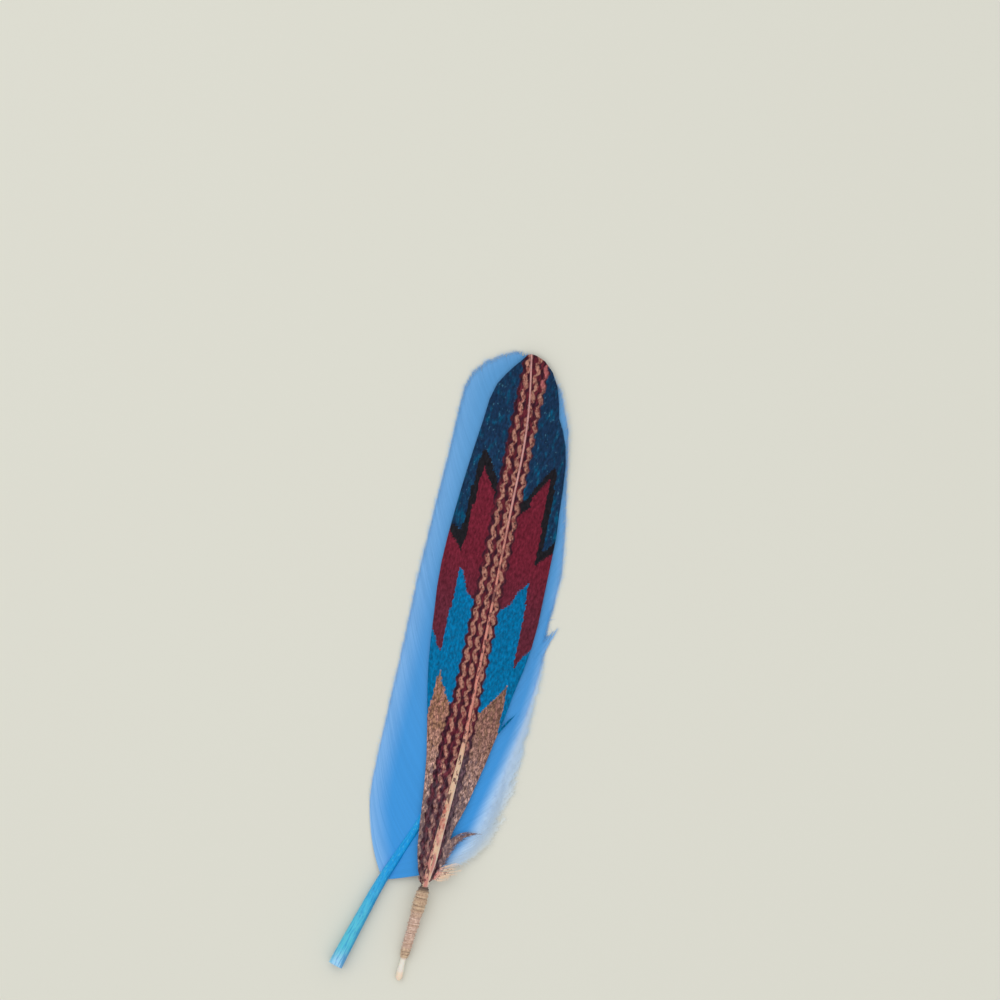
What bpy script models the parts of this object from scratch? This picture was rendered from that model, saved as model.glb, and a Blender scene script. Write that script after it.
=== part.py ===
"""A hat feather lying on a table: two feathers, one on the other, and a thread wrap.

The back feather is dyed blue and keeps its bare quill. The front feather is trimmed to
a blade, and its quill is wound with thread. The frame has +Y from the quills to the
tips, +Z up, and z = 0 on the table. Lengths are in metres, and tables in millimetres.
"""
import math

import bmesh
import bpy
import numpy as np
from mathutils import Vector

MM = 0.001

# What a vane is made with
VANE_THICKNESS = 0.5 * MM
BARB_STEPS = 7
BARB_RISE = 0.4
BARB_REACH = 0.75
ROOT_OVERLAP = 0.1 * MM

# How far the middle of a shaft lies under its vane, as a share of its radius
SHAFT_DROP = 0.35
SHAFT_STEP = 3.0
SHAFT_SIDES_LEVEL = 3

# The low dome that the back feather makes over the table, and the front feather's
# height over it, beside the two shafts and away from them
DOME_MIDDLE = -0.3
DOME_HALF_WIDTH = 15.2
DOME_POWER = 0.9
DOME_CROWN = ((-60, 1.9), (-40, 2.5), (-10, 3.0), (20, 3.0), (50, 2.3), (70, 1.3), (83, 0.35))
LIFT_AT_EDGES = 0.85
LIFT_AT_SHAFT = ((-60, 2.25), (-50, 2.15), (-30, 1.75), (0, 1.4), (40, 1.3), (83, 1.15))
LIFT_MIDDLE = 0.8
LIFT_SPREAD = 5.5

# Shafts, as (y, x, radius), from the quill's end to the tip of the feather
BACK_SHAFT = (
    (-82.6, -18.5, 1.9), (-70, -14.8, 1.6), (-58, -11.0, 1.32), (-50, -7.8, 1.2),
    (-42, -4.7, 1.08), (-32, -2.1, 0.96), (-18, -0.6, 0.84), (0, -0.1, 0.7),
    (25, -0.3, 0.56), (50, -1.0, 0.44), (70, -2.1, 0.36), (82.7, -3.1, 0.3),
)
FRONT_SHAFT = (
    (-83.2, -1.75, 0.35), (-82.7, -1.72, 0.75), (-81.2, -1.68, 0.88), (-78.5, -1.6, 0.75),
    (-76, -1.45, 0.62), (-66, -0.66, 0.62), (-60, -0.18, 0.75), (-57, 0.1, 0.9),
    (-52, 0.6, 1.08), (-42.6, 1.2, 0.98), (-31.4, 1.9, 0.84), (-20, 2.4, 0.66),
    (-5, 2.4, 0.5), (16, 2.25, 0.42), (45, 2.0, 0.36), (60, 1.9, 0.33),
    (70, 1.1, 0.31), (79, -0.3, 0.3), (83.1, -1.0, 0.28),
)
# Heights of the middle of each bare quill, as (y, z), up to where its vane sets them
BACK_QUILL_HEIGHT = ((-82.6, 1.92), (-70, 1.75), (-58, 1.66))
FRONT_QUILL_HEIGHT = ((-83.2, 0.9), (-78.5, 1.2), (-74, 1.7), (-66, 2.75), (-60, 3.5), (-57, 3.85))
BACK_VANE_START = -50
FRONT_VANE_START = -52
QUILL_BORE_RADIUS = 1.35 * MM
QUILL_BORE_DEPTH = 9 * MM

# Barbs that give a vane its outline, as (tip x, tip y, y of the root on the shaft)
BACK_LEFT = (
    (-18.7, -37.5, -58.0), (-19.1, -32.0, -54.0), (-19.1, -25.0, -49.0), (-19.0, -17.0, -43.0),
    (-18.9, -9.0, -36.0), (-18.7, -1.0, -28.5), (-18.5, 7.0, -20.5), (-18.5, 15.0, -12.5),
    (-18.6, 23.0, -4.0), (-18.2, 31.0, 4.5), (-17.9, 39.0, 13.0), (-17.6, 47.0, 22.0),
    (-17.2, 54.5, 31.0), (-16.8, 61.5, 39.5), (-16.4, 67.5, 47.0), (-15.9, 72.0, 54.0),
    (-14.4, 75.4, 60.0), (-12.3, 77.9, 65.0), (-10.0, 79.8, 69.5), (-7.8, 81.4, 73.5),
    (-5.6, 82.4, 77.0), (-4.2, 82.8, 80.0), (-3.1, 82.9, 81.8),
)
BACK_RIGHT = (
    (15.8, -43.3, -58.5), (12.5, -41.5, -57.0), (17.0, -37.0, -55.5), (13.2, -35.5, -53.5),
    (17.9, -29.5, -51.5), (14.4, -28.5, -49.0), (17.6, -23.5, -46.5), (15.9, -21.5, -44.0),
    (17.7, -16.5, -40.5), (18.0, -9.5, -34.5), (18.2, -3.0, -28.0), (18.6, 3.5, -21.5),
    (19.5, 9.4, -15.5), (20.8, 16.0, -11.5), (17.7, 11.8, -9.5), (17.9, 17.0, -5.5),
    (18.4, 22.5, -0.5), (18.8, 28.5, 5.5), (18.3, 34.5, 12.5), (17.3, 40.5, 20.0),
    (16.2, 46.5, 27.5), (15.1, 53.0, 35.5), (14.0, 59.5, 43.5), (12.9, 65.5, 51.0),
    (11.2, 71.0, 58.0), (8.8, 75.3, 64.5), (5.8, 78.6, 70.5), (2.6, 81.0, 75.5),
    (-0.6, 82.3, 79.5), (-2.2, 82.8, 81.2), (-3.0, 82.9, 81.8),
)
FRONT_LEFT = (
    (-4.0, -47.5, -56.5), (-4.5, -42.0, -54.0), (-5.0, -36.5, -51.0), (-5.6, -30.5, -46.5),
    (-6.4, -24.5, -41.5), (-7.5, -18.5, -36.5), (-8.7, -12.5, -31.5), (-9.9, -6.5, -27.0),
    (-10.9, -0.5, -22.0), (-11.6, 6.0, -16.5), (-12.1, 12.5, -10.5), (-12.7, 19.0, -4.5),
    (-12.9, 25.5, 1.5), (-12.7, 32.0, 8.0), (-12.3, 38.5, 14.5), (-11.8, 45.0, 21.5),
    (-11.2, 51.5, 29.0), (-10.5, 58.0, 36.5), (-9.8, 64.0, 44.0), (-9.3, 69.5, 51.5),
    (-8.2, 73.8, 58.0), (-6.4, 76.8, 64.0), (-4.6, 79.3, 69.5), (-3.0, 81.3, 74.5),
    (-1.9, 82.8, 79.0), (-1.1, 83.1, 81.8),
)
FRONT_RIGHT = (
    (4.2, -55.0, -56.6), (8.4, -51.4, -56.0), (2.9, -52.4, -55.4), (5.2, -48.2, -54.4),
    (11.7, -41.1, -53.6), (4.0, -46.0, -52.4), (5.1, -38.9, -49.0), (6.7, -34.0, -46.0),
    (7.8, -29.0, -42.5), (9.0, -23.5, -38.5), (9.9, -18.5, -34.5), (10.9, -13.4, -31.0),
    (14.2, -9.4, -30.2), (11.4, -11.6, -29.6), (12.6, -3.5, -23.5), (13.8, 2.5, -18.5),
    (14.6, 8.5, -13.5), (15.0, 14.5, -8.0), (15.0, 20.5, -2.5), (15.0, 26.5, 3.5),
    (15.0, 32.5, 9.5), (15.0, 38.0, 15.5), (14.5, 44.0, 22.0), (14.2, 50.0, 28.5),
    (13.6, 56.5, 35.5), (12.5, 61.5, 41.5), (10.9, 65.5, 47.0), (9.4, 68.2, 51.5),
    (8.6, 72.0, 57.0), (7.4, 76.0, 63.5), (5.4, 79.5, 70.0), (2.8, 82.0, 75.5),
    (0.6, 82.9, 79.5), (-0.2, 83.1, 81.0), (-0.9, 83.1, 81.8),
)
# Between two outline barbs of the untrimmed feather, the edge dips by this share
LOCK_DIP = 0.025

# Thread wound round the front quill: y at both ends, its outer radius along the quill as
# (share of the length, radius), and its number of turns
WRAP_TOP = -57.5
WRAP_BOTTOM = -77.2
WRAP_OUTSIDE = ((0, 1.4), (0.08, 1.55), (0.22, 1.74), (0.42, 1.56), (0.65, 1.3), (0.8, 1.32), (1, 1.1))
WRAP_GAP = 0.2
WRAP_TURNS = 26
WRAP_GROOVE = 0.1
WRAP_SIDES = 14


def smooth(table, y, column=1):
    """The value at y of the smooth curve through a table's (y, value, ...) rows."""
    ys = np.array([row[0] for row in table], float)
    values = np.array([row[column] for row in table], float)
    slopes = np.gradient(values, ys)
    i = np.clip(np.searchsorted(ys, y) - 1, 0, len(ys) - 2)
    span = ys[i + 1] - ys[i]
    t = np.clip((y - ys[i]) / span, 0, 1)
    rise = t * t * (3 - 2 * t)
    return (
        values[i] + (values[i + 1] - values[i]) * rise
        + span * (slopes[i] * t * (1 - t) ** 2 - slopes[i + 1] * t * t * (1 - t))
    )


def back_height(x, y):
    """Height of the middle of the back vane: a dome that lies flat on the table outside."""
    share = (x - DOME_MIDDLE) / DOME_HALF_WIDTH
    bulge = max(0.0, 1 - share * share) ** DOME_POWER
    return VANE_THICKNESS / MM / 2 + smooth(DOME_CROWN, y) * bulge


def front_height(x, y):
    """Height of the middle of the front vane, clear of the back feather under it."""
    near_shaft = math.exp(-(((x - LIFT_MIDDLE) / LIFT_SPREAD) ** 2))
    lift = LIFT_AT_EDGES + (smooth(LIFT_AT_SHAFT, y) - LIFT_AT_EDGES) * near_shaft
    return back_height(x, y) + lift


def shaft_height(y, shaft, quill, vane_start, height):
    """Height of the middle of a shaft: the bare quill's table, then just under the vane."""
    y_on_vane = max(y, vane_start)
    x, radius = smooth(shaft, y_on_vane), smooth(shaft, y_on_vane, 2)
    under_vane = height(x, y_on_vane) - SHAFT_DROP * radius
    if y >= vane_start:
        return under_vane
    return smooth((*quill, (vane_start, under_vane)), y)


def material(name, colour, roughness):
    """A plain Principled BSDF of one colour."""
    made = bpy.data.materials.new(name)
    made.use_nodes = True
    bsdf = made.node_tree.nodes["Principled BSDF"]
    bsdf.inputs["Base Color"].default_value = (*colour, 1)
    bsdf.inputs["Roughness"].default_value = roughness
    return made


def collection(name):
    """A new collection in the scene."""
    made = bpy.data.collections.new(name)
    bpy.context.scene.collection.children.link(made)
    return made


def add_object(name, mesh, into):
    """A new mesh object in a collection."""
    made = bpy.data.objects.new(name, mesh)
    into.objects.link(made)
    return made


def shaft_object(name, shaft, quill, vane_start, height, into):
    """A tapering round shaft, made as a curve and turned into one closed mesh."""
    curve = bpy.data.curves.new(name, "CURVE")
    curve.dimensions = "3D"
    curve.bevel_depth = 1
    curve.bevel_resolution = SHAFT_SIDES_LEVEL
    curve.use_fill_caps = True
    first, last = shaft[0][0], shaft[-1][0]
    stations = sorted({row[0] for row in shaft} | set(np.arange(first, last, SHAFT_STEP).tolist()))
    kept = [y for i, y in enumerate(stations) if i == 0 or y - stations[i - 1] > 0.5]
    spline = curve.splines.new("POLY")
    spline.points.add(len(kept) - 1)
    for point, y in zip(spline.points, kept):
        z = shaft_height(y, shaft, quill, vane_start, height)
        point.co = (smooth(shaft, y) * MM, y * MM, z * MM, 1)
        point.radius = smooth(shaft, y, 2) * MM
    drawn = bpy.data.objects.new(name + "_line", curve)
    into.objects.link(drawn)
    graph = bpy.context.evaluated_depsgraph_get()
    mesh = bpy.data.meshes.new_from_object(drawn.evaluated_get(graph))
    bm = bmesh.new()
    bm.from_mesh(mesh)
    bmesh.ops.remove_doubles(bm, verts=bm.verts, dist=1e-7)
    bmesh.ops.recalc_face_normals(bm, faces=bm.faces)
    bm.to_mesh(mesh)
    bm.free()
    made = add_object(name, mesh, into)
    made.matrix_world = drawn.matrix_world
    bpy.data.objects.remove(drawn)
    mesh.shade_smooth()
    mesh.set_sharp_from_angle(angle=math.radians(40))
    return made


def with_dips(barbs):
    """Outline barbs with a shorter one between each two, so that the edge parts into locks."""
    rows = [barbs[0]]
    for a, b in zip(barbs, barbs[1:]):
        middle = [(p + q) / 2 for p, q in zip(a, b)]
        rows += [(*middle, 1 - LOCK_DIP), b]
    return rows


def barb_point(barb, u, side, shaft, height):
    """The point a share u along a barb, which leaves the shaft wide and bends forward."""
    tip_x, tip_y, root_y, *length = barb
    u = u * (length[0] if length else 1)
    root_x = smooth(shaft, root_y) - side * ROOT_OVERLAP / MM
    bend, reach = 2 * u * (1 - u), u * u
    x = root_x + (tip_x - root_x) * (bend * BARB_REACH + reach)
    y = root_y + (tip_y - root_y) * (bend * BARB_RISE + reach)
    return Vector((x * MM, y * MM, height(x, y) * MM + VANE_THICKNESS / 2))


def vane_object(name, barbs, side, shaft, height, into):
    """One side's vane: a grid with a row along each barb, thickened straight down."""
    bm = bmesh.new()
    bmesh.ops.create_grid(bm, x_segments=BARB_STEPS, y_segments=len(barbs) - 1, size=0.5)
    for vertex in bm.verts:
        row = round((vertex.co.y + 0.5) * (len(barbs) - 1))
        vertex.co = barb_point(barbs[row], vertex.co.x + 0.5, side, shaft, height)
    walls = bmesh.ops.extrude_face_region(bm, geom=bm.faces[:])
    lowered = [item for item in walls["geom"] if isinstance(item, bmesh.types.BMVert)]
    bmesh.ops.translate(bm, verts=lowered, vec=(0, 0, -VANE_THICKNESS))
    bmesh.ops.recalc_face_normals(bm, faces=bm.faces)
    mesh = bpy.data.meshes.new(name)
    bm.to_mesh(mesh)
    bm.free()
    made = add_object(name, mesh, into)
    made.hide_render = True
    made.display_type = "WIRE"
    return made


def boolean(target, operation, other):
    """Joins another mesh to the target, or cuts it away."""
    modifier = target.modifiers.new(operation.title() + " " + other.name, "BOOLEAN")
    modifier.operation = operation
    modifier.object = other
    modifier.solver = "EXACT"


def back_feather(parts, helpers, finish):
    """The blue feather underneath, with an open hollow end to its cut quill."""
    feather = shaft_object(
        "back_feather", BACK_SHAFT, BACK_QUILL_HEIGHT, BACK_VANE_START, back_height, parts
    )
    for name, barbs, side in (("left", BACK_LEFT, -1), ("right", BACK_RIGHT, 1)):
        rows = with_dips(barbs)
        vane = vane_object("back_vane_" + name, rows, side, BACK_SHAFT, back_height, helpers)
        boolean(feather, "UNION", vane)
    end_y, end_x, _ = BACK_SHAFT[0]
    next_y, next_x, _ = BACK_SHAFT[1]
    end = Vector((end_x, end_y, BACK_QUILL_HEIGHT[0][1])) * MM
    inward = (Vector((next_x, next_y, BACK_QUILL_HEIGHT[1][1])) * MM - end).normalized()
    bpy.ops.mesh.primitive_cylinder_add(
        vertices=12, radius=QUILL_BORE_RADIUS, depth=2 * QUILL_BORE_DEPTH, location=end,
        rotation=inward.to_track_quat("Z", "Y").to_euler(),
    )
    bore = bpy.context.object
    bore.name = "quill_bore"
    bpy.context.collection.objects.unlink(bore)
    helpers.objects.link(bore)
    bore.hide_render = True
    bore.display_type = "WIRE"
    boolean(feather, "DIFFERENCE", bore)
    feather.data.materials.append(finish)


def front_feather(parts, helpers, finish):
    """The printed feather on top, trimmed along its edges."""
    feather = shaft_object(
        "front_feather", FRONT_SHAFT, FRONT_QUILL_HEIGHT, FRONT_VANE_START, front_height, parts
    )
    for name, barbs, side in (("left", FRONT_LEFT, -1), ("right", FRONT_RIGHT, 1)):
        vane = vane_object("front_vane_" + name, barbs, side, FRONT_SHAFT, front_height, helpers)
        boolean(feather, "UNION", vane)
    feather.data.materials.append(finish)


def front_quill_point(y):
    """The point on the middle line of the front quill at y."""
    z = shaft_height(y, FRONT_SHAFT, FRONT_QUILL_HEIGHT, FRONT_VANE_START, front_height)
    return Vector((smooth(FRONT_SHAFT, y), y, z)) * MM


def thread_wrap(parts, finish):
    """The thread round the front quill: a turned sleeve with a ridge for every turn."""
    top, bottom = front_quill_point(WRAP_TOP), front_quill_point(WRAP_BOTTOM)
    along = bottom - top
    length = along.length
    outside = []
    for turn in range(WRAP_TURNS):
        for part, depth in ((0.1, WRAP_GROOVE), (0.5, 0), (0.9, WRAP_GROOVE)):
            share = (turn + part) / WRAP_TURNS
            outside.append(((smooth(WRAP_OUTSIDE, share) - depth) * MM, share * length))
    inside = []
    for share in np.linspace(1, 0, 6):
        y = WRAP_TOP + share * (WRAP_BOTTOM - WRAP_TOP)
        inside.append(((smooth(FRONT_SHAFT, y, 2) + WRAP_GAP) * MM, share * length))
    ends = [(outside[0][0], 0)], [(outside[-1][0], length)]
    profile = ends[0] + outside + ends[1] + inside
    points = [(radius, 0, -distance) for radius, distance in profile]
    edges = [(i, (i + 1) % len(points)) for i in range(len(points))]
    mesh = bpy.data.meshes.new("thread_wrap")
    mesh.from_pydata(points, edges, [])
    wrap = add_object("thread_wrap", mesh, parts)
    wrap.location = top
    wrap.rotation_mode = "QUATERNION"
    wrap.rotation_quaternion = (-along).to_track_quat("Z", "Y")
    screw = wrap.modifiers.new("Turn", "SCREW")
    screw.steps = WRAP_SIDES
    screw.render_steps = WRAP_SIDES
    screw.use_merge_vertices = True
    screw.merge_threshold = 1e-6
    screw.use_smooth_shade = True
    wrap.data.materials.append(finish)


def main():
    """Builds the three pieces of the hat feather."""
    for old in list(bpy.data.objects):
        bpy.data.objects.remove(old)
    parts, helpers = collection("hat_feather"), collection("helpers")
    back_feather(parts, helpers, material("blue_dyed_feather", (0.11, 0.35, 0.72), 0.7))
    front_feather(parts, helpers, material("printed_feather", (0.13, 0.05, 0.07), 0.75))
    thread_wrap(parts, material("tan_thread", (0.45, 0.31, 0.22), 0.8))


main()
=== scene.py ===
"""The look of a hat feather that lies on a table: a printed feather over a blue one.

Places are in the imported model's frame: +Y from the quills to the tips, +Z up, and z = 0
on the table. Tables of places are in millimetres, and finished meshes in metres.
"""
import logging
import math
from dataclasses import dataclass
from enum import Enum

import bpy
import numpy as np
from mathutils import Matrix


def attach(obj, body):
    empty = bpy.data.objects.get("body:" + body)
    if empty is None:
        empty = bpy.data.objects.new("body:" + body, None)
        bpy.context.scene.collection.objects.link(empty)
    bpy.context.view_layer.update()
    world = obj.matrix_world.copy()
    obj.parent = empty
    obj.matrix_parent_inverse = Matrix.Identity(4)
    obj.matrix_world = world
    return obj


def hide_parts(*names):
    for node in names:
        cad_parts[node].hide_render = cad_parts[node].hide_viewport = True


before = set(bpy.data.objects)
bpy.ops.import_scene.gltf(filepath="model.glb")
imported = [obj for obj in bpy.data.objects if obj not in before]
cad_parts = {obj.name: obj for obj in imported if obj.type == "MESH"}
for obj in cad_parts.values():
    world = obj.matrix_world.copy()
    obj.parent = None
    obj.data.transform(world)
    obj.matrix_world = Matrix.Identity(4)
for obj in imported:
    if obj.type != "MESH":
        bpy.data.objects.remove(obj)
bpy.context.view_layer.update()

MM = 0.001
BODY = "root"
Array = np.ndarray
Table = tuple[tuple[float, ...], ...]
Colour = tuple[int, int, int]
"""Red, green and blue in screen values of 0 to 255."""
Span = tuple[float, float]
Triple = tuple[float, float, float]
Socket = bpy.types.NodeSocket
UP = np.array((0.0, 0.0, 1.0))
EVEN = (1.0, 1.0, 1.0)
"""A stretch that changes nothing."""
BARBULES = 90.0
"""Ripples along a barb of a vane."""
BARBULE_DEPTH = 0.00003
"""In metres."""
TONE_RANGE = (0.2, 0.8)
"""Between these lie most tones of the barb grain."""
log = logging.getLogger("hat_feather")


class Side(Enum):
    """The side of the shaft on which a vane grows, seen from above with the tip up."""

    LEFT = -1
    RIGHT = 1


class Ending(Enum):
    """How the barbs of a vane end at its outline."""

    TRIMMED = "cut straight by scissors"
    GROWN = "tapering to a fine point"


def smooth(table: Table, at: Array | float, column: int = 1) -> Array:
    """The smooth curve through a table's rows, read at some places.

    Between two rows runs the cubic that has both rows' values and, at each row, the mean
    slope around it: value + rise + span * (slope parts).

    Args:
        table: Rows of (place, value, ...), with rising places.
        at: The places to read the curve at.
        column: Which value of the rows to read.

    Returns:
        The values, in the shape of the places.
    """
    rows = np.array(table, float)
    places, values = rows[:, 0], rows[:, column]
    slopes = np.gradient(values, places)
    i = np.clip(np.searchsorted(places, at) - 1, 0, len(places) - 2)
    span = places[i + 1] - places[i]
    t = np.clip((at - places[i]) / span, 0, 1)
    rise = t * t * (3 - 2 * t)
    bends = slopes[i] * t * (1 - t) ** 2 - slopes[i + 1] * t * t * (1 - t)
    return values[i] + (values[i + 1] - values[i]) * rise + span * bends


def ease(value: Array, low: Array | float, high: Array | float) -> Array:
    """0 below low, 1 above high, and the smooth step 3t^2 - 2t^3 between them."""
    t = np.clip((value - low) / (high - low), 0, 1)
    return t * t * (3 - 2 * t)


def unit(vectors: Array) -> Array:
    """Vectors scaled to a length of one."""
    return vectors / np.maximum(np.linalg.norm(vectors, axis=-1, keepdims=True), 1e-9)


def directions(paths: Array) -> tuple[Array, Array, Array]:
    """Three square directions at every point of some paths.

    Along is the path's slope, across is up turned square to it (z cross along), and over
    is what stands on both (along cross across).

    Args:
        paths: Points by path and station.

    Returns:
        Along, across and over, each in the shape of the paths.
    """
    along = unit(np.gradient(paths, axis=-2))
    across = unit(np.cross(UP, along))
    return along, across, np.cross(along, across)


def swept(paths: Array, section: Array) -> Array:
    """Rings of points round some paths.

    A ring is path + across * a + over * b for each (a, b) of the section at that station,
    which runs anticlockwise seen against the path.

    Args:
        paths: Points by path and station.
        section: (a, b) by path, station and side.

    Returns:
        Points by path, station and side.
    """
    _, across, over = directions(paths)
    sideways = across[..., None, :] * section[..., 0:1]
    upward = over[..., None, :] * section[..., 1:2]
    return paths[..., None, :] + sideways + upward


def tube_faces(count: int, stations: int, sides: int) -> list[list[int]]:
    """Faces of closed tubes, whose points are numbered by tube, station and side.

    Args:
        count: How many tubes there are.
        stations: Rings of points along each.
        sides: Points of a ring.

    Returns:
        The points of each face, by number.
    """
    index = np.arange(count * stations * sides).reshape(count, stations, sides)
    turned = np.roll(index, -1, axis=2)
    walls = np.stack([index[:, :-1], turned[:, :-1], turned[:, 1:], index[:, 1:]], axis=-1)
    return walls.reshape(-1, 4).tolist() + index[:, 0, ::-1].tolist() + index[:, -1].tolist()


@dataclass(frozen=True)
class Strands:
    """Closed tubes side by side, such as barbs, hairs or a thread."""

    rings: Array
    marks: Array
    """For the finish, by tube, station and perhaps side: share of the length, place, tone."""


def add_piece(name: str, sets: list[Strands], finish: bpy.types.Material,
              nodes: list[str], crease: float = 62) -> None:
    """Makes one mesh object of some sets of strands and lets it ride on the part.

    The mesh gets the attribute strand, which holds the marks, and a flat map for baking
    with the top of the piece on its left half and the underside on its right half.

    Args:
        name: Name of the piece.
        sets: What it is made of, in millimetres.
        finish: Its material.
        nodes: The solids that it stands for.
        crease: Edges that bend by more than this many degrees stay sharp.
    """
    points, faces, marks, first = [], [], [], 0
    for part in sets:
        count, stations, sides, _ = part.rings.shape
        points.append(part.rings.reshape(-1, 3))
        own = part.marks if part.marks.ndim == 4 else part.marks[:, :, None]
        marks.append(np.broadcast_to(own, part.rings.shape).reshape(-1, 3))
        faces += [[i + first for i in face] for face in tube_faces(count, stations, sides)]
        first += count * stations * sides
    places = np.concatenate(points) * MM
    mesh = bpy.data.meshes.new(name)
    mesh.from_pydata(places, [], faces)
    strand = mesh.attributes.new("strand", "FLOAT_VECTOR", "POINT")
    strand.data.foreach_set("vector", np.concatenate(marks).astype(np.float32).ravel())
    add_bake_map(mesh)
    mesh.shade_smooth()
    mesh.set_sharp_from_angle(angle=math.radians(crease))
    mesh.materials.append(finish)
    piece = bpy.data.objects.new(name, mesh)
    bpy.context.scene.collection.objects.link(piece)
    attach(piece, BODY)
    for node in nodes:
        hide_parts(node)
    log.info("%s: %d faces", name, len(faces))


def add_bake_map(mesh: bpy.types.Mesh) -> None:
    """Lays a mesh flat for baking: x and y fill half of the map, by which way a face looks.

    Args:
        mesh: The mesh, which gets the map OFBake.
    """
    corners = np.empty(len(mesh.loops), np.int32)
    mesh.loops.foreach_get("vertex_index", corners)
    places = np.empty(len(mesh.vertices) * 3, np.float32)
    mesh.vertices.foreach_get("co", places)
    flat = places.reshape(-1, 3)[corners, :2]
    normals = np.empty(len(mesh.polygons) * 3, np.float32)
    mesh.polygons.foreach_get("normal", normals)
    totals = np.empty(len(mesh.polygons), np.int32)
    mesh.polygons.foreach_get("loop_total", totals)
    below = np.repeat(normals.reshape(-1, 3)[:, 2] < 0, totals)
    low, high = flat.min(axis=0), flat.max(axis=0)
    shares = (flat - low) / np.maximum(high - low, 1e-9)
    margin = 0.01
    shares[:, 0] = margin + shares[:, 0] * (0.5 - 2 * margin) + 0.5 * below
    shares[:, 1] = margin + shares[:, 1] * (1 - 2 * margin)
    layer = mesh.uv_layers.new(name="OFBake")
    layer.data.foreach_set("uv", shares.astype(np.float32).ravel())


@dataclass(frozen=True)
class Bed:
    """The surface that a vane follows: a low dome over the table, and a lift above it."""

    lift_at_edges: float = 0.0
    lift_at_shaft: Table = ((-60, 0.0), (83, 0.0))
    dome_middle: float = -0.3
    dome_half_width: float = 15.2
    dome_power: float = 0.9
    crown: Table = (
        (-60, 1.9), (-40, 2.5), (-10, 3.0), (20, 3.0), (50, 2.3), (70, 1.3), (83, 0.35),
    )
    half_thickness: float = 0.25
    lift_middle: float = 0.8
    lift_spread: float = 5.5

    def height(self, x: Array, y: Array) -> Array:
        """Height of the vane's middle.

        It is half_thickness + crown(y) * (1 - s^2)^power, where s is x from the dome's
        middle as a share of its half width, plus a lift that is bell-shaped in x.

        Args:
            x: Where to read it.
            y: Where to read it.

        Returns:
            The height at each place.
        """
        share = (x - self.dome_middle) / self.dome_half_width
        bulge = np.maximum(0, 1 - share * share) ** self.dome_power
        near = np.exp(-(((x - self.lift_middle) / self.lift_spread) ** 2))
        lift = self.lift_at_edges + (smooth(self.lift_at_shaft, y) - self.lift_at_edges) * near
        return self.half_thickness + smooth(self.crown, y) * bulge + lift


@dataclass(frozen=True)
class Shaft:
    """A feather's shaft, round at the quill and grooved underneath along the vane."""

    rows: Table
    """(y, x, radius) from the quill's end to the tip."""
    quill: Table
    """(y, height) of the bare quill's middle."""
    vane_start: float
    bed: Bed
    drop: float = 0.35
    """How far its middle lies under the vane's, as a share of the radius."""
    step: float = 0.8
    sides: int = 20
    groove_depth: float = 0.28
    groove_half_angle: float = 0.5
    groove_grows: Span = (6, 18)
    """How far before and after the start of the vane the groove deepens."""
    bore_radius: float = 0.0
    bore_depth: float = 0.0
    bore_rings: int = 9
    line_samples: int = 400
    """Places at which the directions round its middle line are found."""

    def x(self, y: Array) -> Array:
        """Sideways place of the shaft's middle at y."""
        return smooth(self.rows, y)

    def radius(self, y: Array) -> Array:
        """Radius of the shaft at y."""
        return smooth(self.rows, y, 2)

    def height(self, y: Array) -> Array:
        """Height of the shaft's middle: just under the vane, or the bare quill's own.

        Args:
            y: Where to read it.

        Returns:
            The height at each place.
        """
        on_vane = np.maximum(y, self.vane_start)
        under = self.bed.height(self.x(on_vane), on_vane) - self.drop * self.radius(on_vane)
        start = np.array([self.vane_start])
        joint = self.bed.height(self.x(start), start) - self.drop * self.radius(start)
        bare = smooth((*self.quill, (self.vane_start, float(joint[0]))), y)
        return np.where(y >= self.vane_start, under, bare)

    def path(self, y: Array) -> Array:
        """Points of the shaft's middle line."""
        return np.stack([self.x(y), y, self.height(y)], axis=-1)

    def strands(self) -> Strands:
        """The shaft as one tube, with its bore if it has one.

        A ring's radius at angle t is r * (1 - depth * bell(t - down)), and the depth grows
        from nothing on the quill to its full value along the vane. The bore is the same
        tube turned inside out: the rings run out of its end, over the rim and up outside.

        Returns:
            The tube. Its marks are the share of the length, y, and the cosine of the angle,
            which is 1 on the left side and -1 on the right.
        """
        first, last = self.rows[0][0], self.rows[-1][0]
        y = np.concatenate([np.arange(first, last, self.step), [last]])
        scale = np.ones(len(y))
        if self.bore_radius:
            deep = np.linspace(first + self.bore_depth, first + 0.05, self.bore_rings)
            wall = np.full(len(deep), self.bore_radius) / self.radius(deep)
            y = np.concatenate([deep[:1], deep, [first, first], y[1:]])
            rim = 0.5 * (wall[-1] + 1)
            scale = np.concatenate([[0.02], wall, [rim, 0.99], scale[1:]])
        y, scale = np.append(y, last), np.append(scale, 0.05)
        angle = np.linspace(0, 2 * math.pi, self.sides, endpoint=False)
        before, after = self.groove_grows
        grown = ease(y, self.vane_start - before, self.vane_start + after) * self.groove_depth
        down = np.angle(np.exp(1j * (angle + math.pi / 2)))
        dent = grown[:, None] * np.exp(-((down / self.groove_half_angle) ** 2))
        radius = (self.radius(y) * scale)[:, None] * (1 - dent)
        line = self.path(y)
        smoothed = self.path(np.linspace(first, last, self.line_samples))
        _, across, over = directions(smoothed)
        at = np.interp(y, smoothed[:, 1], np.arange(self.line_samples))
        pick = np.round(at).astype(int)
        turned = np.cos(angle)[None, :, None] * across[pick][:, None, :]
        raised = np.sin(angle)[None, :, None] * over[pick][:, None, :]
        rings = line[:, None, :] + radius[..., None] * (turned + raised)
        share = ((y - first) / (last - first))[:, None]
        marks = np.stack(np.broadcast_arrays(share, y[:, None], np.cos(angle)), axis=-1)
        return Strands(rings[None], marks[None])


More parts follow.
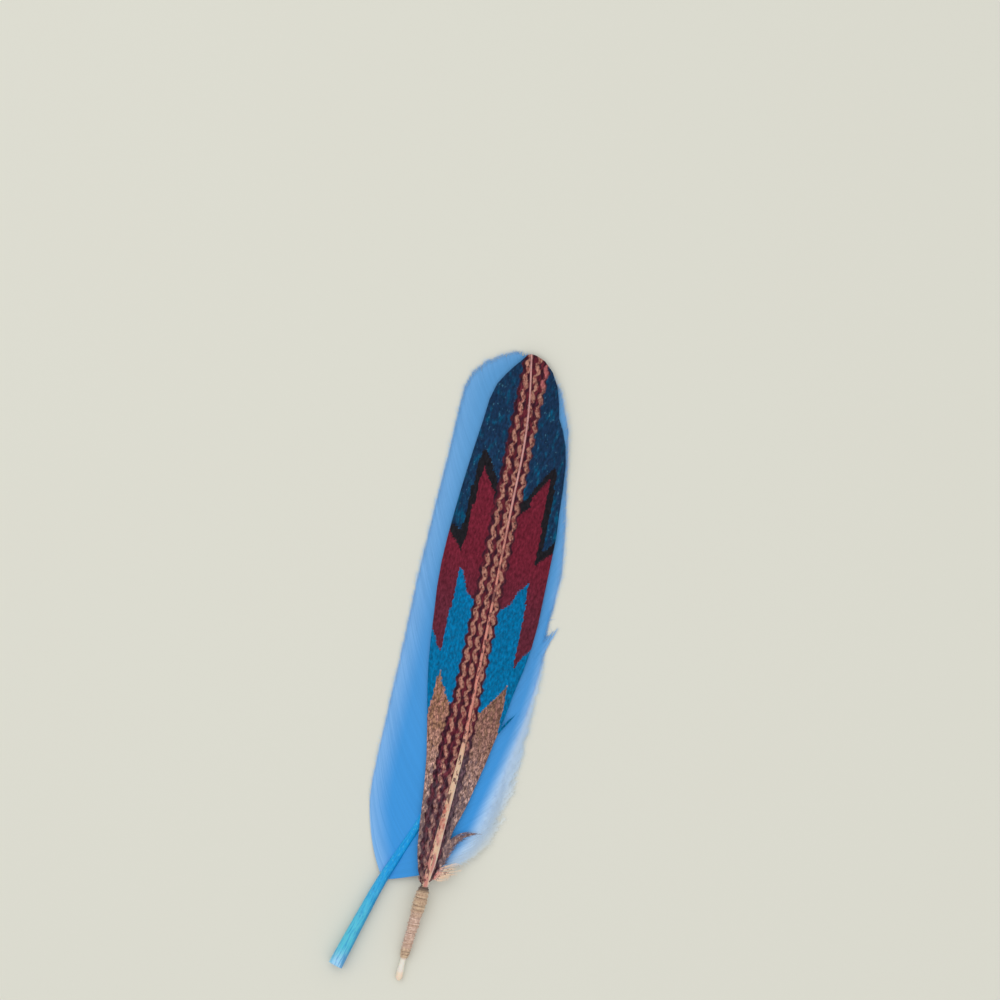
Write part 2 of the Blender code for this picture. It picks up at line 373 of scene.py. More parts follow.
@dataclass(frozen=True)
class Vane:
    """One side's vane: hundreds of barbs, each a ridged strip that overlaps the next."""

    shaft: Shaft
    side: Side
    outline: Table
    """(tip x, tip y, y of the root) of the barbs that give the vane its outline."""
    ending: Ending
    seed: int
    pitch: float = 0.44
    stations: int = 22
    reach: float = 0.75
    rise: float = 0.4
    overlap: float = 0.66
    ridge: float = 0.075
    web_limit: Table = ((-60, 99.0, 1.0), (83, 99.0, 1.0))
    """(y, sideways place where the web ends, how far it takes to thin out to bare down)."""
    locks: tuple[int, int] = (9, 30)
    """The least and the most barbs of a lock."""
    closing: float = 0.015
    """How tightly the locks close, on average."""
    ruffle: float = 0.02
    raggedness: float = 0.02
    down_raggedness: float = 0.8
    down_width: float = 0.04
    tip_share: float = 0.1
    """Share of a grown barb over which it tapers."""
    root_inset: float = 0.1
    """How far the roots reach past the shaft's middle line."""
    crowding: float = 0.86
    """Share of a half wave that spaces the stations: close at the root, wide midway."""
    ruffle_range: Span = (-0.09, 0.2)

    def roots(self) -> Array:
        """Places on the shaft, in y, where the barbs grow."""
        return np.arange(self.outline[0][2], self.outline[-1][2], self.pitch)

    def tips(self, roots: Array) -> Array:
        """Ends of the barbs, on the smoothed outline.

        Args:
            roots: Their roots, in y.

        Returns:
            (x, y) of each end.
        """
        rows = np.array(self.outline)
        ends = np.stack([np.interp(roots, rows[:, 2], rows[:, k]) for k in (0, 1)], axis=-1)
        kernel = np.array((0.0, 1.0, 3.0, 1.0, 0.0)) / 5
        padded = np.pad(ends, ((2, 2), (0, 0)), mode="edge")
        return np.stack([np.convolve(padded[:, k], kernel, "valid") for k in (0, 1)], axis=-1)

    def pulls(self, ends: Array, rng: np.random.Generator) -> Array:
        """How far each barb's end is drawn along the edge to the middle of its lock.

        Args:
            ends: Ends of the barbs.
            rng: Source of the locks' sizes and of how tightly each one closes.

        Returns:
            (x, y) of each pull.
        """
        index = np.arange(len(ends))
        bounds = np.cumsum(rng.integers(*self.locks, size=len(ends)))
        lock = np.searchsorted(bounds, index, side="right")
        middle = np.bincount(lock, index) / np.maximum(np.bincount(lock), 1)
        closing = rng.uniform(0, 2 * self.closing, size=lock.max() + 1)
        edge = unit(np.gradient(ends, axis=0))
        return edge * ((middle[lock] - index) * self.pitch * closing[lock])[:, None]

    def thinned(self, x: Array, y: Array) -> Array:
        """How far the web has thinned out to down.

        Args:
            x: Where to read it.
            y: Where to read it.

        Returns:
            0 on the closed web, 1 on bare down, and between them a smooth step over x.
        """
        rows = np.array(self.web_limit)
        past = x * self.side.value - np.interp(y, rows[:, 0], rows[:, 1])
        return ease(past / np.interp(y, rows[:, 0], rows[:, 2]), 0, 1)

    def paths(self) -> Array:
        """Middle lines of the barbs, on the bed.

        A line is (1-u)^2 root + 2u(1-u) bend + u^2 tip, plus the pull times u^5, so that
        locks part at the edge alone.

        Returns:
            Points by barb and station.
        """
        rng = np.random.default_rng(self.seed)
        roots = self.roots()
        tips = self.tips(roots)
        pulls = self.pulls(tips, rng)
        start = np.stack([self.shaft.x(roots), roots], axis=-1)
        start[:, 0] -= self.side.value * self.root_inset
        rows = np.array(self.web_limit)
        beyond = np.abs(tips[:, 0]) - np.interp(tips[:, 1], rows[:, 0], rows[:, 1])
        room = np.clip(beyond / np.abs(tips[:, 0] - start[:, 0]), 0, 0.4)
        amount = self.raggedness + self.down_raggedness * room
        ragged = rng.uniform(-1, 0.1, size=len(roots)) * amount
        if self.ending is Ending.TRIMMED:
            ragged *= 0
        span = tips - start
        turn = math.pi * self.crowding
        u = (1 - np.cos(np.linspace(0, 1, self.stations) * turn)) / (1 - math.cos(turn))
        u = u * (1 + ragged)[:, None]
        bend = 2 * u * (1 - u)
        x = start[:, :1] + span[:, :1] * (bend * self.reach + u * u) + pulls[:, :1] * u**5
        y = start[:, 1:] + span[:, 1:] * (bend * self.rise + u * u) + pulls[:, 1:] * u**5
        wave = rng.normal(0, self.ruffle, size=(len(roots), 1)) * u
        z = self.shaft.bed.height(x, y) + np.clip(wave, *self.ruffle_range)
        return np.stack([x, y, z], axis=-1)

    def strands(self) -> Strands:
        """The barbs as closed strips, each with a ridge, a keel and two thin edges.

        The edge towards the quill lies low and the edge towards the tip lies high, so that
        each strip lies over the next like a tile. Half the width is overlap times the
        distance between barbs, and shrinks to a hair where the web ends or the tip is.

        Returns:
            The strips. Their marks are the share of the length, the root's y, and a random tone.
        """
        paths = self.paths()
        _, across, _ = directions(paths)
        apart = np.abs((np.gradient(paths, axis=0) * across).sum(axis=-1))
        half = np.minimum(apart, 1.5 * self.pitch) * self.overlap
        lengths = np.linalg.norm(np.diff(paths, axis=1), axis=-1)
        total = lengths.sum(axis=1, keepdims=True)
        share = np.concatenate([np.zeros((len(paths), 1)), lengths.cumsum(axis=1)], 1) / total
        roots = self.roots()
        thin = self.thinned(paths[..., 0], paths[..., 1])
        half = half * (1 - thin) + self.down_width * thin
        if self.ending is Ending.GROWN:
            half *= np.clip((1 - share) / self.tip_share, 0.02, 1) ** 0.7
        else:
            half *= 1 - 0.25 * ease(share, 0.97, 1.0)
        rise = self.ridge * np.minimum(1, half / (self.pitch * self.overlap))
        far = half * self.side.value
        zero = np.zeros_like(half)
        corners = [(-far, -rise), (zero, -1.2 * rise), (far, 0.5 * rise), (-0.1 * far, rise)]
        if self.side is Side.LEFT:
            corners.reverse()
        section = np.stack([np.stack(pair, axis=-1) for pair in corners], axis=-2)
        tone = np.random.default_rng(self.seed + 7).random(len(roots))
        marks = np.stack(np.broadcast_arrays(share, roots[:, None], tone[:, None]), axis=-1)
        return Strands(swept(paths, section), marks)


@dataclass(frozen=True)
class Fuzz:
    """Fine hairs along the outer parts of some barbs."""

    seed: int
    count: int
    length: Span = (0.5, 1.3)
    width: float = 0.035
    where: Span = (0.9, 1.0)
    spread: float = 0.7
    """The largest angle between a hair and its barb, in radians."""
    stations: int = 4
    curl: float = 0.35
    sway: float = 0.06
    """How far the tips rise or sink, as a standard deviation."""
    lowest: float = 0.06

    def strands(self, paths: Array, marks: Array, weight: Array | None = None) -> Strands:
        """Hairs that leave the barbs sideways and curl.

        A hair is start + length * (v * out + curl * v^2 * across), where out is the barb's
        direction turned by a random angle, and across is square to the barb.

        Args:
            paths: Middle lines of the barbs that carry them.
            marks: Marks of these barbs, by barb and station.
            weight: How many hairs start, by barb and station; even at the ends if not given.

        Returns:
            The hairs as three-sided tubes.
        """
        rng = np.random.default_rng(self.seed)
        if weight is None:
            barb = rng.integers(0, len(paths), self.count)
            place = rng.uniform(*self.where, self.count) * (paths.shape[1] - 1)
        else:
            picked = rng.choice(weight.size, self.count, p=weight.ravel() / weight.sum())
            barb, station = np.divmod(picked, paths.shape[1])
            place = np.clip(station + rng.uniform(-0.5, 0.5, self.count), 0, None)
        low = np.clip(place.astype(int), 0, paths.shape[1] - 2)
        part = (place - low)[:, None]
        start = paths[barb, low] * (1 - part) + paths[barb, low + 1] * part
        along = unit(paths[barb, low + 1] - paths[barb, low])
        across = unit(np.cross(UP, along))
        turn = rng.choice((-1, 1), self.count) * rng.uniform(0.2, 1, self.count) * self.spread
        out = along * np.cos(turn)[:, None] + across * np.sin(turn)[:, None]
        length = rng.uniform(*self.length, self.count)[:, None, None]
        v = np.linspace(0, 1, self.stations)[None, :, None]
        curl = rng.normal(0, self.curl, (self.count, 1, 1))
        line = start[:, None] + length * (v * out[:, None] + curl * v * v * across[:, None])
        risen = line[..., 2] + rng.normal(0, self.sway, (self.count, 1)) * v[..., 0]
        line[..., 2] = np.maximum(risen, self.lowest)
        angle = np.arange(3) * 2 * math.pi / 3 + math.pi / 6
        ring = np.stack([np.cos(angle), np.sin(angle)], axis=-1)
        size = self.width * (1 - 0.8 * v[..., 0])
        section = size[..., None, None] * ring
        section = np.broadcast_to(section, (self.count, self.stations, 3, 2))
        own = marks[barb, low][:, None, :]
        return Strands(swept(line, section), np.broadcast_to(own, line.shape))


@dataclass(frozen=True)
class Lock:
    """Loose barbs that lie side by side between guide curves."""

    guides: Table
    """(root x, root y, bend x, bend y, tip x, tip y) from one side of the lock to the other."""
    bed: Bed
    count: int
    seed: int
    half_width: float = 0.2
    thickness: float = 0.07
    scatter: float = 0.4
    shortest: float = 0.8
    lift: Span = (0.05, 0.3)
    stations: int = 18

    def paths(self) -> Array:
        """Middle lines: (1-u)^2 root + 2u(1-u) bend + u^2 tip between the guides, on the bed.

        Returns:
            Points by barb and station.
        """
        rng = np.random.default_rng(self.seed)
        rows = np.array(self.guides, float)
        across = np.linspace(0, len(rows) - 1, self.count)
        places = np.stack(
            [np.interp(across, np.arange(len(rows)), rows[:, k]) for k in range(6)], axis=-1
        ).reshape(self.count, 3, 2)
        places[:, 1:] += rng.normal(0, 1, (self.count, 2, 2)) * self.scatter * (0.5, 1.0)
        u = np.linspace(0, 1, self.stations) * rng.uniform(self.shortest, 1, (self.count, 1))
        weights = np.stack([(1 - u) ** 2, 2 * u * (1 - u), u * u], axis=-1)
        flat = np.einsum("bsk,bkc->bsc", weights, places)
        raised = rng.uniform(*self.lift, (self.count, 1)) * u
        height = self.bed.height(flat[..., 0], flat[..., 1]) + raised
        return np.concatenate([flat, height[..., None]], axis=-1)

    def strands(self) -> Strands:
        """The barbs: flat diamonds in section, which narrow to their tips.

        Returns:
            The barbs. Their marks are the share of the length, the barb's number, and a
            random tone.
        """
        paths = self.paths()
        u = np.linspace(0, 1, self.stations)
        half = self.half_width * np.clip(1.02 - u, 0.02, 1) ** 0.55
        deep = self.thickness * np.minimum(1, half / self.half_width * 1.4)
        zero = np.zeros_like(half)
        corners = [(half, zero), (zero, deep), (-half, zero), (zero, -deep)]
        section = np.stack([np.stack(pair, axis=-1) for pair in corners], axis=-2)
        section = np.broadcast_to(section, (self.count, *section.shape))
        tone = np.random.default_rng(self.seed + 7).random((self.count, 1))
        marks = np.stack(np.broadcast_arrays(u[None], np.arange(self.count)[:, None], tone), -1)
        return Strands(swept(paths, section), marks)


@dataclass(frozen=True)
class Winding:
    """Thread wound in close turns round a quill."""

    quill: Shaft
    top: float = -57.5
    bottom: float = -77.2
    turns: float = 47.0
    thread_radius: float = 0.22
    outside: Table = (
        (0, 1.12), (0.05, 1.36), (0.12, 1.6), (0.22, 1.72), (0.42, 1.54), (0.65, 1.3),
        (0.8, 1.32), (1, 1.1),
    )
    raised: float = 0.0
    steps_a_turn: int = 26
    sides: int = 8
    seed: int = 5
    unevenness: float = 0.16
    """Of the place of each turn, as a standard deviation in turns."""
    proud: Span = (-0.1, 0.06)
    """How far a turn sinks or stands out, at random between the two."""
    tucked_turns: float = 0.7
    """Over so many turns each end dives under the others."""
    tuck: float = 0.5
    line_samples: int = 200

    def strands(self) -> Strands:
        """The thread: a coil whose middle is the quill's middle line.

        A point is quill(y) + r * (across * cos a + over * sin a), where a turns evenly, y
        goes from top to bottom unevenly by a little, and r is the wrap's outer radius less
        the thread's. Both ends dive under the other turns.

        Returns:
            The thread as one tube. Its marks are the turn, y, and how uneven the turn is.
        """
        rng = np.random.default_rng(self.seed)
        count = int(self.turns * self.steps_a_turn)
        turn = np.linspace(0, self.turns, count)
        knots = np.arange(0, self.turns + 2)
        uneven = np.interp(turn, knots, rng.normal(0, self.unevenness, len(knots)))
        share = np.clip((turn + uneven) / self.turns, 0, 1)
        y = self.top + (self.bottom - self.top) * share
        middle = self.quill.path(y)
        fine = self.quill.path(np.linspace(self.top, self.bottom, self.line_samples))
        _, across, over = directions(fine)
        pick = (share * (self.line_samples - 1)).round().astype(int)
        proud = self.raised + np.interp(turn, knots, rng.uniform(*self.proud, len(knots)))
        last = self.turns - self.tucked_turns
        tucked = 1 - ease(turn, 0, self.tucked_turns) + ease(turn, last, self.turns)
        radius = smooth(self.outside, share) - self.thread_radius + proud - self.tuck * tucked
        angle = turn * 2 * math.pi
        line = (
            middle
            + across[pick] * (radius * np.cos(angle))[:, None]
            + over[pick] * (radius * np.sin(angle))[:, None]
        )
        along = unit(np.gradient(line, axis=0))
        outward = unit(line - middle)
        beside = unit(np.cross(along, outward))
        outward = np.cross(beside, along)
        around = np.linspace(0, 2 * math.pi, self.sides, endpoint=False)
        cosine, sine = np.cos(around)[None, :, None], np.sin(around)[None, :, None]
        rings = line[:, None] + self.thread_radius * (
            outward[:, None] * cosine - beside[:, None] * sine
        )
        marks = np.stack([turn, y, uneven], axis=-1)
        return Strands(rings[None, :, ::-1], marks[None])


def linear(colour: Colour) -> tuple[float, float, float, float]:
    """A colour in screen values of 0 to 255, as the linear colour that sockets hold.

    Args:
        colour: Red, green and blue.

    Returns:
        Each part c as ((c + 0.055) / 1.055)^2.4, or c / 12.92 where it is dark, and alpha 1.
    """
    c = np.array(colour) / 255
    value = np.where(c <= 0.04045, c / 12.92, ((c + 0.055) / 1.055) ** 2.4)
    return (*value.tolist(), 1.0)


class Sketch:
    """Lays shader nodes in a tree, and links each as it is made."""

    def __init__(self, tree: bpy.types.NodeTree) -> None:
        """Starts on a tree."""
        self.tree = tree

    def node(self, kind: str, feeds: dict | None = None, **settings: object) -> bpy.types.Node:
        """Adds a node.

        Args:
            kind: Its type.
            feeds: What goes into its inputs, by name or number: a socket, number or colour.
            **settings: Its own properties.

        Returns:
            The node.
        """
        made = self.tree.nodes.new(kind)
        for key, value in settings.items():
            setattr(made, key, value)
        for key, value in (feeds or {}).items():
            if isinstance(value, bpy.types.NodeSocket):
                self.tree.links.new(value, made.inputs[key])
            else:
                made.inputs[key].default_value = value
        return made

    def math(self, operation: str, *values: Socket | float) -> Socket:
        """The result of a Math node."""
        return self.node("ShaderNodeMath", dict(enumerate(values)), operation=operation).outputs[0]

    def plus(self, first: Socket, second: Socket | float) -> Socket:
        """The sum of two values."""
        return self.math("ADD", first, second)

    def less(self, first: Socket | float, second: Socket | float) -> Socket:
        """The first value less the second."""
        return self.math("SUBTRACT", first, second)

    def times(self, first: Socket, second: Socket | float) -> Socket:
        """The product of two values."""
        return self.math("MULTIPLY", first, second)

    def mix(self, share: Socket, first: Socket | Colour, second: Socket | Colour) -> Socket:
        """A colour between two others.

        Args:
            share: 0 for the first colour and 1 for the second.
            first: A socket, or a plain colour in screen values.
            second: The same.

        Returns:
            The mixed colour.
        """
        ends = [linear(end) if isinstance(end, tuple) else end for end in (first, second)]
        feeds = {0: share, 6: ends[0], 7: ends[1]}
        return self.node("ShaderNodeMix", feeds, data_type="RGBA").outputs[2]

    def step(self, value: Socket, low: float, high: float) -> Socket:
        """0 at low, 1 at high, and a smooth step between."""
        feeds = {0: value, 1: low, 2: high, 3: 0.0, 4: 1.0}
        return self.node("ShaderNodeMapRange", feeds, interpolation_type="SMOOTHSTEP").outputs[0]

    def span(self, value: Socket, low: float, high: float, start: float, end: float) -> Socket:
        """A value carried in a straight line from one range to another."""
        feeds = {0: value, 1: low, 2: high, 3: start, 4: end}
        return self.node("ShaderNodeMapRange", feeds).outputs[0]

    def stretched(self, vector: Socket, amounts: Triple) -> Socket:
        """A vector multiplied by three numbers."""
        made = self.node("ShaderNodeVectorMath", {0: vector, 1: amounts}, operation="MULTIPLY")
        return made.outputs[0]

    def noise(self, vector: Socket, stretch: Triple, scale: float, detail: float = 2.0) -> Socket:
        """Smooth noise, about 0.5 on average, that follows a stretched vector."""
        feeds = {"Vector": self.stretched(vector, stretch), "Scale": scale, "Detail": detail}
        return self.node("ShaderNodeTexNoise", feeds).outputs[0]

    def marks(self) -> list[Socket]:
        """The three numbers of the attribute strand."""
        strand = self.node("ShaderNodeAttribute", attribute_name="strand").outputs["Vector"]
        return list(self.node("ShaderNodeSeparateXYZ", {0: strand}).outputs)

    def border(self, value: Socket, points: Table) -> Socket:
        """The broken line through some points, read at a value.

        Args:
            value: Where to read it.
            points: (place, height) of its corners, with rising places.

        Returns:
            The height there.
        """
        rows = np.array(points, float)
        low, high = rows.min(axis=0), rows.max(axis=0)
        share = self.span(value, low[0], high[0], 0.0, 1.0)
        made = self.node("ShaderNodeFloatCurve", {1: share})
        curve = made.mapping.curves[0]
        for place, height in (rows[1:-1] - low) / (high - low):
            curve.points.new(place, height)
        ends = (rows[[0, -1], 1] - low[1]) / (high[1] - low[1])
        curve.points[0].location = (0.0, ends[0])
        curve.points[len(curve.points) - 1].location = (1.0, ends[1])
        for point in curve.points:
            point.handle_type = "VECTOR"
        made.mapping.update()
        return self.span(made.outputs[0], 0.0, 1.0, low[1], high[1])


def new_material(name: str) -> tuple[bpy.types.Material, Sketch, bpy.types.Node]:
    """Starts a material.

    Args:
        name: Its name.

    Returns:
        The material, a sketch on its tree, and its Principled node.
    """
    made = bpy.data.materials.new(name)
    made.use_nodes = True
    return made, Sketch(made.node_tree), made.node_tree.nodes["Principled BSDF"]


def finish_surface(draw: Sketch, shader: bpy.types.Node, colour: Socket, height: Socket,
                   depth: float, values: dict[str, float]) -> None:
    """Gives a shader its colour, its bump and the numbers that are the same all over.

    Args:
        draw: The sketch.
        shader: The Principled node.
        colour: Its base colour.
        height: The height that the bump follows.
        depth: The bump's distance in metres.
        values: Numbers for the shader's own sockets.
    """
    draw.tree.links.new(colour, shader.inputs["Base Color"])
    bump = draw.node("ShaderNodeBump", {"Strength": 0.5, "Distance": depth, "Height": height})
    draw.tree.links.new(bump.outputs[0], shader.inputs["Normal"])
    for name, value in values.items():
        shader.inputs[name].default_value = value


def new_group(name: str, takes: dict[str, str], gives: tuple[str, ...]
              ) -> tuple[Sketch, list[Socket]]:
    """Starts a shader group.

    Args:
        name: Its name.
        takes: The kind of each of its inputs.
        gives: Names of the numbers that it puts out.

    Returns:
        A sketch on the group's tree, and what comes in.
    """
    group = bpy.data.node_groups.new(name, "ShaderNodeTree")
    for socket, kind in takes.items():
        group.interface.new_socket(socket, in_out="INPUT", socket_type=f"NodeSocket{kind}")
    for socket in gives:
        group.interface.new_socket(socket, in_out="OUTPUT", socket_type="NodeSocketFloat")
    draw = Sketch(group)
    return draw, list(draw.node("NodeGroupInput").outputs)


def close_group(draw: Sketch, *results: Socket) -> bpy.types.NodeTree:
    """Puts a group's results out, and returns the group."""
    draw.node("NodeGroupOutput", dict(enumerate(results)))
    return draw.tree


def barb_grain_group() -> bpy.types.NodeTree:
    """A group for what all barbs share: fine barbules, and a tone for each barb.

    Barbules are ripples along the barb, broken by noise.

    Returns:
        The group. Height is for a bump, and Tone runs from 0 to 1 and differs from barb to
        barb and slowly along each barb.
    """
    draw, came = new_group("Barb grain", {"Ripples": "Float"}, ("Height", "Tone"))
    strand = draw.node("ShaderNodeAttribute", attribute_name="strand").outputs["Vector"]
    share, root, own = draw.node("ShaderNodeSeparateXYZ", {0: strand}).outputs
    phase = draw.times(share, came[0])
    ripple = draw.math("SINE", draw.times(phase, 2 * math.pi))
    place = draw.node("ShaderNodeCombineXYZ", {0: phase, 1: root}).outputs[0]
    rough = draw.noise(place, EVEN, 0.6)
    height = draw.plus(draw.times(ripple, 0.35), rough)
    slow = draw.noise(strand, (3.0, 1.4, 0.0), 1.0)
    tone = draw.plus(draw.times(own, 0.5), draw.times(slow, 0.5))
    return close_group(draw, height, tone)


def fleck_group() -> bpy.types.NodeTree:
    """A group for irregular flecks.

    Returns:
        The group. Mask is 1 where the noise is above the threshold, and 0 elsewhere.
    """
    takes = {"Place": "Vector", "Scale": "Float", "Threshold": "Float"}
    draw, came = new_group("Flecks", takes, ("Mask",))
    feeds = {"Vector": came[0], "Scale": came[1], "Detail": 3.0, "Roughness": 0.6}
    cloud = draw.node("ShaderNodeTexNoise", feeds).outputs[0]
    return close_group(draw, draw.step(draw.less(cloud, came[2]), -0.03, 0.03))


def knit_group() -> bpy.types.NodeTree:
    """A group for the stitches of a knitted cloth: uneven cells, higher than wide.

    Returns:
        The group. Tone is random from stitch to stitch, and Gap is 1 in the thin dark gaps
        between them.
    """
    draw, came = new_group("Stitches", {"Place": "Vector"}, ("Tone", "Gap"))
    drawn_out = draw.stretched(came[0], (2.1, 0.76, 0.0))
    bent = draw.noise(came[0], (1.0, 0.6, 0.0), 0.9)
    cells = draw.node("ShaderNodeVectorMath", {0: drawn_out, 1: bent}, operation="ADD").outputs[0]
    feeds = {"Vector": cells, "Scale": 1.0}
    plain = draw.node("ShaderNodeTexVoronoi", feeds)
    edges = draw.node("ShaderNodeTexVoronoi", feeds, feature="DISTANCE_TO_EDGE")
    tone = draw.node("ShaderNodeSeparateColor", {0: plain.outputs["Color"]}).outputs[0]
    torn = draw.noise(came[0], (1.0, 0.7, 0.0), 1.4)
    wide = draw.less(edges.outputs["Distance"], draw.span(torn, 0.3, 0.7, -0.1, 0.14))
    return close_group(draw, tone, draw.step(wide, 0.16, 0.0))


@dataclass(frozen=True)
class Effects:
    """The shader groups that several finishes share."""

    grain: bpy.types.NodeTree
    flecks: bpy.types.NodeTree
    knit: bpy.types.NodeTree

    def barb_grain(self, draw: Sketch, ripples: float) -> tuple[Socket, Socket]:
        """The height and the tone of barbs in a material, with so many ripples to a barb."""
        made = draw.node("ShaderNodeGroup", {"Ripples": ripples}, node_tree=self.grain)
        return made.outputs["Height"], made.outputs["Tone"]

    def fleck(self, draw: Sketch, place: Socket, stretch: Triple, scale: float,
              threshold: Socket | float) -> Socket:
        """A mask of flecks in a material, on a stretched place."""
        feeds = {"Place": draw.stretched(place, stretch), "Scale": scale, "Threshold": threshold}
        return draw.node("ShaderNodeGroup", feeds, node_tree=self.flecks).outputs[0]

    def stitches(self, draw: Sketch, place: Socket) -> tuple[Socket, Socket]:
        """The tone of each stitch in a material, and the gaps between stitches."""
        made = draw.node("ShaderNodeGroup", {"Place": place}, node_tree=self.knit)
        return made.outputs["Tone"], made.outputs["Gap"]


def millimetres(draw: Sketch) -> tuple[Socket, Socket, Socket]:
    """The place on a piece, from its Object coordinates.

    Args:
        draw: The sketch.

    Returns:
        The place in millimetres, its x and its y.
    """
    place = draw.node("ShaderNodeTexCoord").outputs["Object"]
    scaled = draw.stretched(place, (1 / MM, 1 / MM, 1 / MM))
    parts = draw.node("ShaderNodeSeparateXYZ", {0: scaled})
    return scaled, parts.outputs[0], parts.outputs[1]


@dataclass(frozen=True)
class DyedVane:
    """Barbs dyed light blue: deeper low down and by the shaft, paler towards the edge.

    A pair of places gives where something starts to show and where it is full, along y or
    past the end of the closed web.
    """

    effects: Effects
    upper: Colour = (91, 154, 208)
    lower: Colour = (63, 149, 220)
    edge: Colour = (138, 186, 234)
    down: Colour = (198, 221, 242)
    wisps: Colour = (232, 237, 236)
    upper_above: Span = (-45.0, 55.0)
    left_edge: Span = (-6.0, 0.4)
    right_edge: Span = (-2.0, 0.4)
    edge_fades: Span = (0.0, 60.0)
    edge_strength: Span = (0.74, 0.3)
    down_past: Span = (-0.2, 0.7)
    """As a share of the length over which the web thins out."""
    wisps_past: Span = (2.2, 6.5)
    wisps_below: Span = (6.0, -6.0)

    def material(self, side: Side, limit: Table) -> bpy.types.Material:
        """The finish of a blue vane.

        Args:
            side: The vane's side of the shaft.
            limit: (y, sideways place of the web's end, how far the web takes to thin out).

        Returns:
            The material.
        """
        made, draw, shader = new_material(f"blue_vane_{side.name.lower()}")
        _, x, y = millimetres(draw)
        height, tone = self.effects.barb_grain(draw, BARBULES)
        colour = draw.mix(draw.step(y, *self.upper_above), self.lower, self.upper)
        place = draw.border(y, tuple((row[0], row[1]) for row in limit))
        fade = draw.border(y, tuple((row[0], row[2]) for row in limit))
        past = draw.less(draw.times(x, side.value), place)
        near_edge = draw.step(past, *(self.left_edge if side is Side.LEFT else self.right_edge))
        band = draw.times(near_edge, draw.span(y, *self.edge_fades, *self.edge_strength))
        streaky = draw.times(band, draw.span(tone, *TONE_RANGE, 0.84, 1.2))
        colour = draw.mix(streaky, colour, self.edge)
        gone = draw.step(draw.math("DIVIDE", past, fade), *self.down_past)
        colour = draw.mix(gone, colour, self.down)
        far = draw.times(draw.step(past, *self.wisps_past), draw.step(y, *self.wisps_below))
        colour = draw.mix(far, colour, self.wisps)
        feeds = {"Value": draw.span(tone, *TONE_RANGE, 0.96, 1.03), "Color": colour}
        toned = draw.node("ShaderNodeHueSaturation", feeds).outputs[0]
        finish_surface(draw, shader, toned, height, BARBULE_DEPTH, {
            "Roughness": 0.75, "Specular IOR Level": 0.1, "Sheen Weight": 0.04,
            "Sheen Roughness": 0.45,
        })
        return made


@dataclass(frozen=True)
class DyedShaft:
    """Turquoise horn: streaked along its length, clearer and paler at the open quill."""

    effects: Effects
    upper: Colour = (6, 152, 222)
    quill: Colour = (86, 192, 216)
    end: Colour = (162, 212, 244)
    # Colour of the dark streaks, and of the painted shade down the right side.
    streak_and_shade: Colour = (0, 124, 194)
    # Colour of the pale spots, and of the painted highlight down the left side.
    pale: Colour = (96, 200, 230)
    upper_above: Span = (-74.0, -52.0)
    end_below: Span = (-77.0, -82.6)
    streaks: float = 0.6
    spots: float = 0.36
    left_painted_highlight: Span = (0.2, 0.12)
    # How strong the painted highlight down the left side is, on the quill and above it.
    """How much paler the left side is on the quill and above it."""
    # How strongly the painted shade darkens the right side.
    right_painted_shade: float = 0.6

    def material(self) -> bpy.types.Material:
        """The finish of the blue shaft.

        Returns:
            The material. Its streaks follow the angle round the shaft, and y.
        """
        made, draw, shader = new_material("blue_quill")
        place, _, y = millimetres(draw)
        colour = draw.mix(draw.step(y, *self.upper_above), self.quill, self.upper)
        colour = draw.mix(draw.step(y, *self.end_below), colour, self.end)
        side = draw.marks()[2]
        feeds = {0: draw.times(side, 2.4), 1: draw.times(y, 0.16)}
        lines = draw.node("ShaderNodeCombineXYZ", feeds).outputs[0]
        streaks = draw.step(draw.noise(lines, EVEN, 1.6, 3.0), 0.46, 0.66)
        colour = draw.mix(draw.times(streaks, self.streaks), colour, self.streak_and_shade)
        spots = self.effects.fleck(draw, place, (1.6, 0.8, 1.0), 1.2, 0.6)
        colour = draw.mix(draw.times(spots, self.spots), colour, self.pale)
        # Painted highlight: the left side is mixed towards pale, more on the quill than above it.
        above_quill = draw.step(y, -74.0, -62.0)
        light = draw.span(above_quill, 0.0, 1.0, *self.left_painted_highlight)
        left = draw.times(draw.step(side, 0.45, 0.7), light)
        colour = draw.mix(left, colour, self.pale)
        # Painted shade: the right side is mixed towards the dark streak colour all along.
        right = draw.times(draw.step(side, -0.5, -0.85), self.right_painted_shade)
        colour = draw.mix(right, colour, self.streak_and_shade)
        ridges = draw.noise(lines, EVEN, 3.0)
        finish_surface(draw, shader, colour, ridges, 0.00005, {
            "Roughness": 0.38, "Specular IOR Level": 0.18, "Subsurface Weight": 0.15,
            "Subsurface Scale": 0.001,
        })
        return made


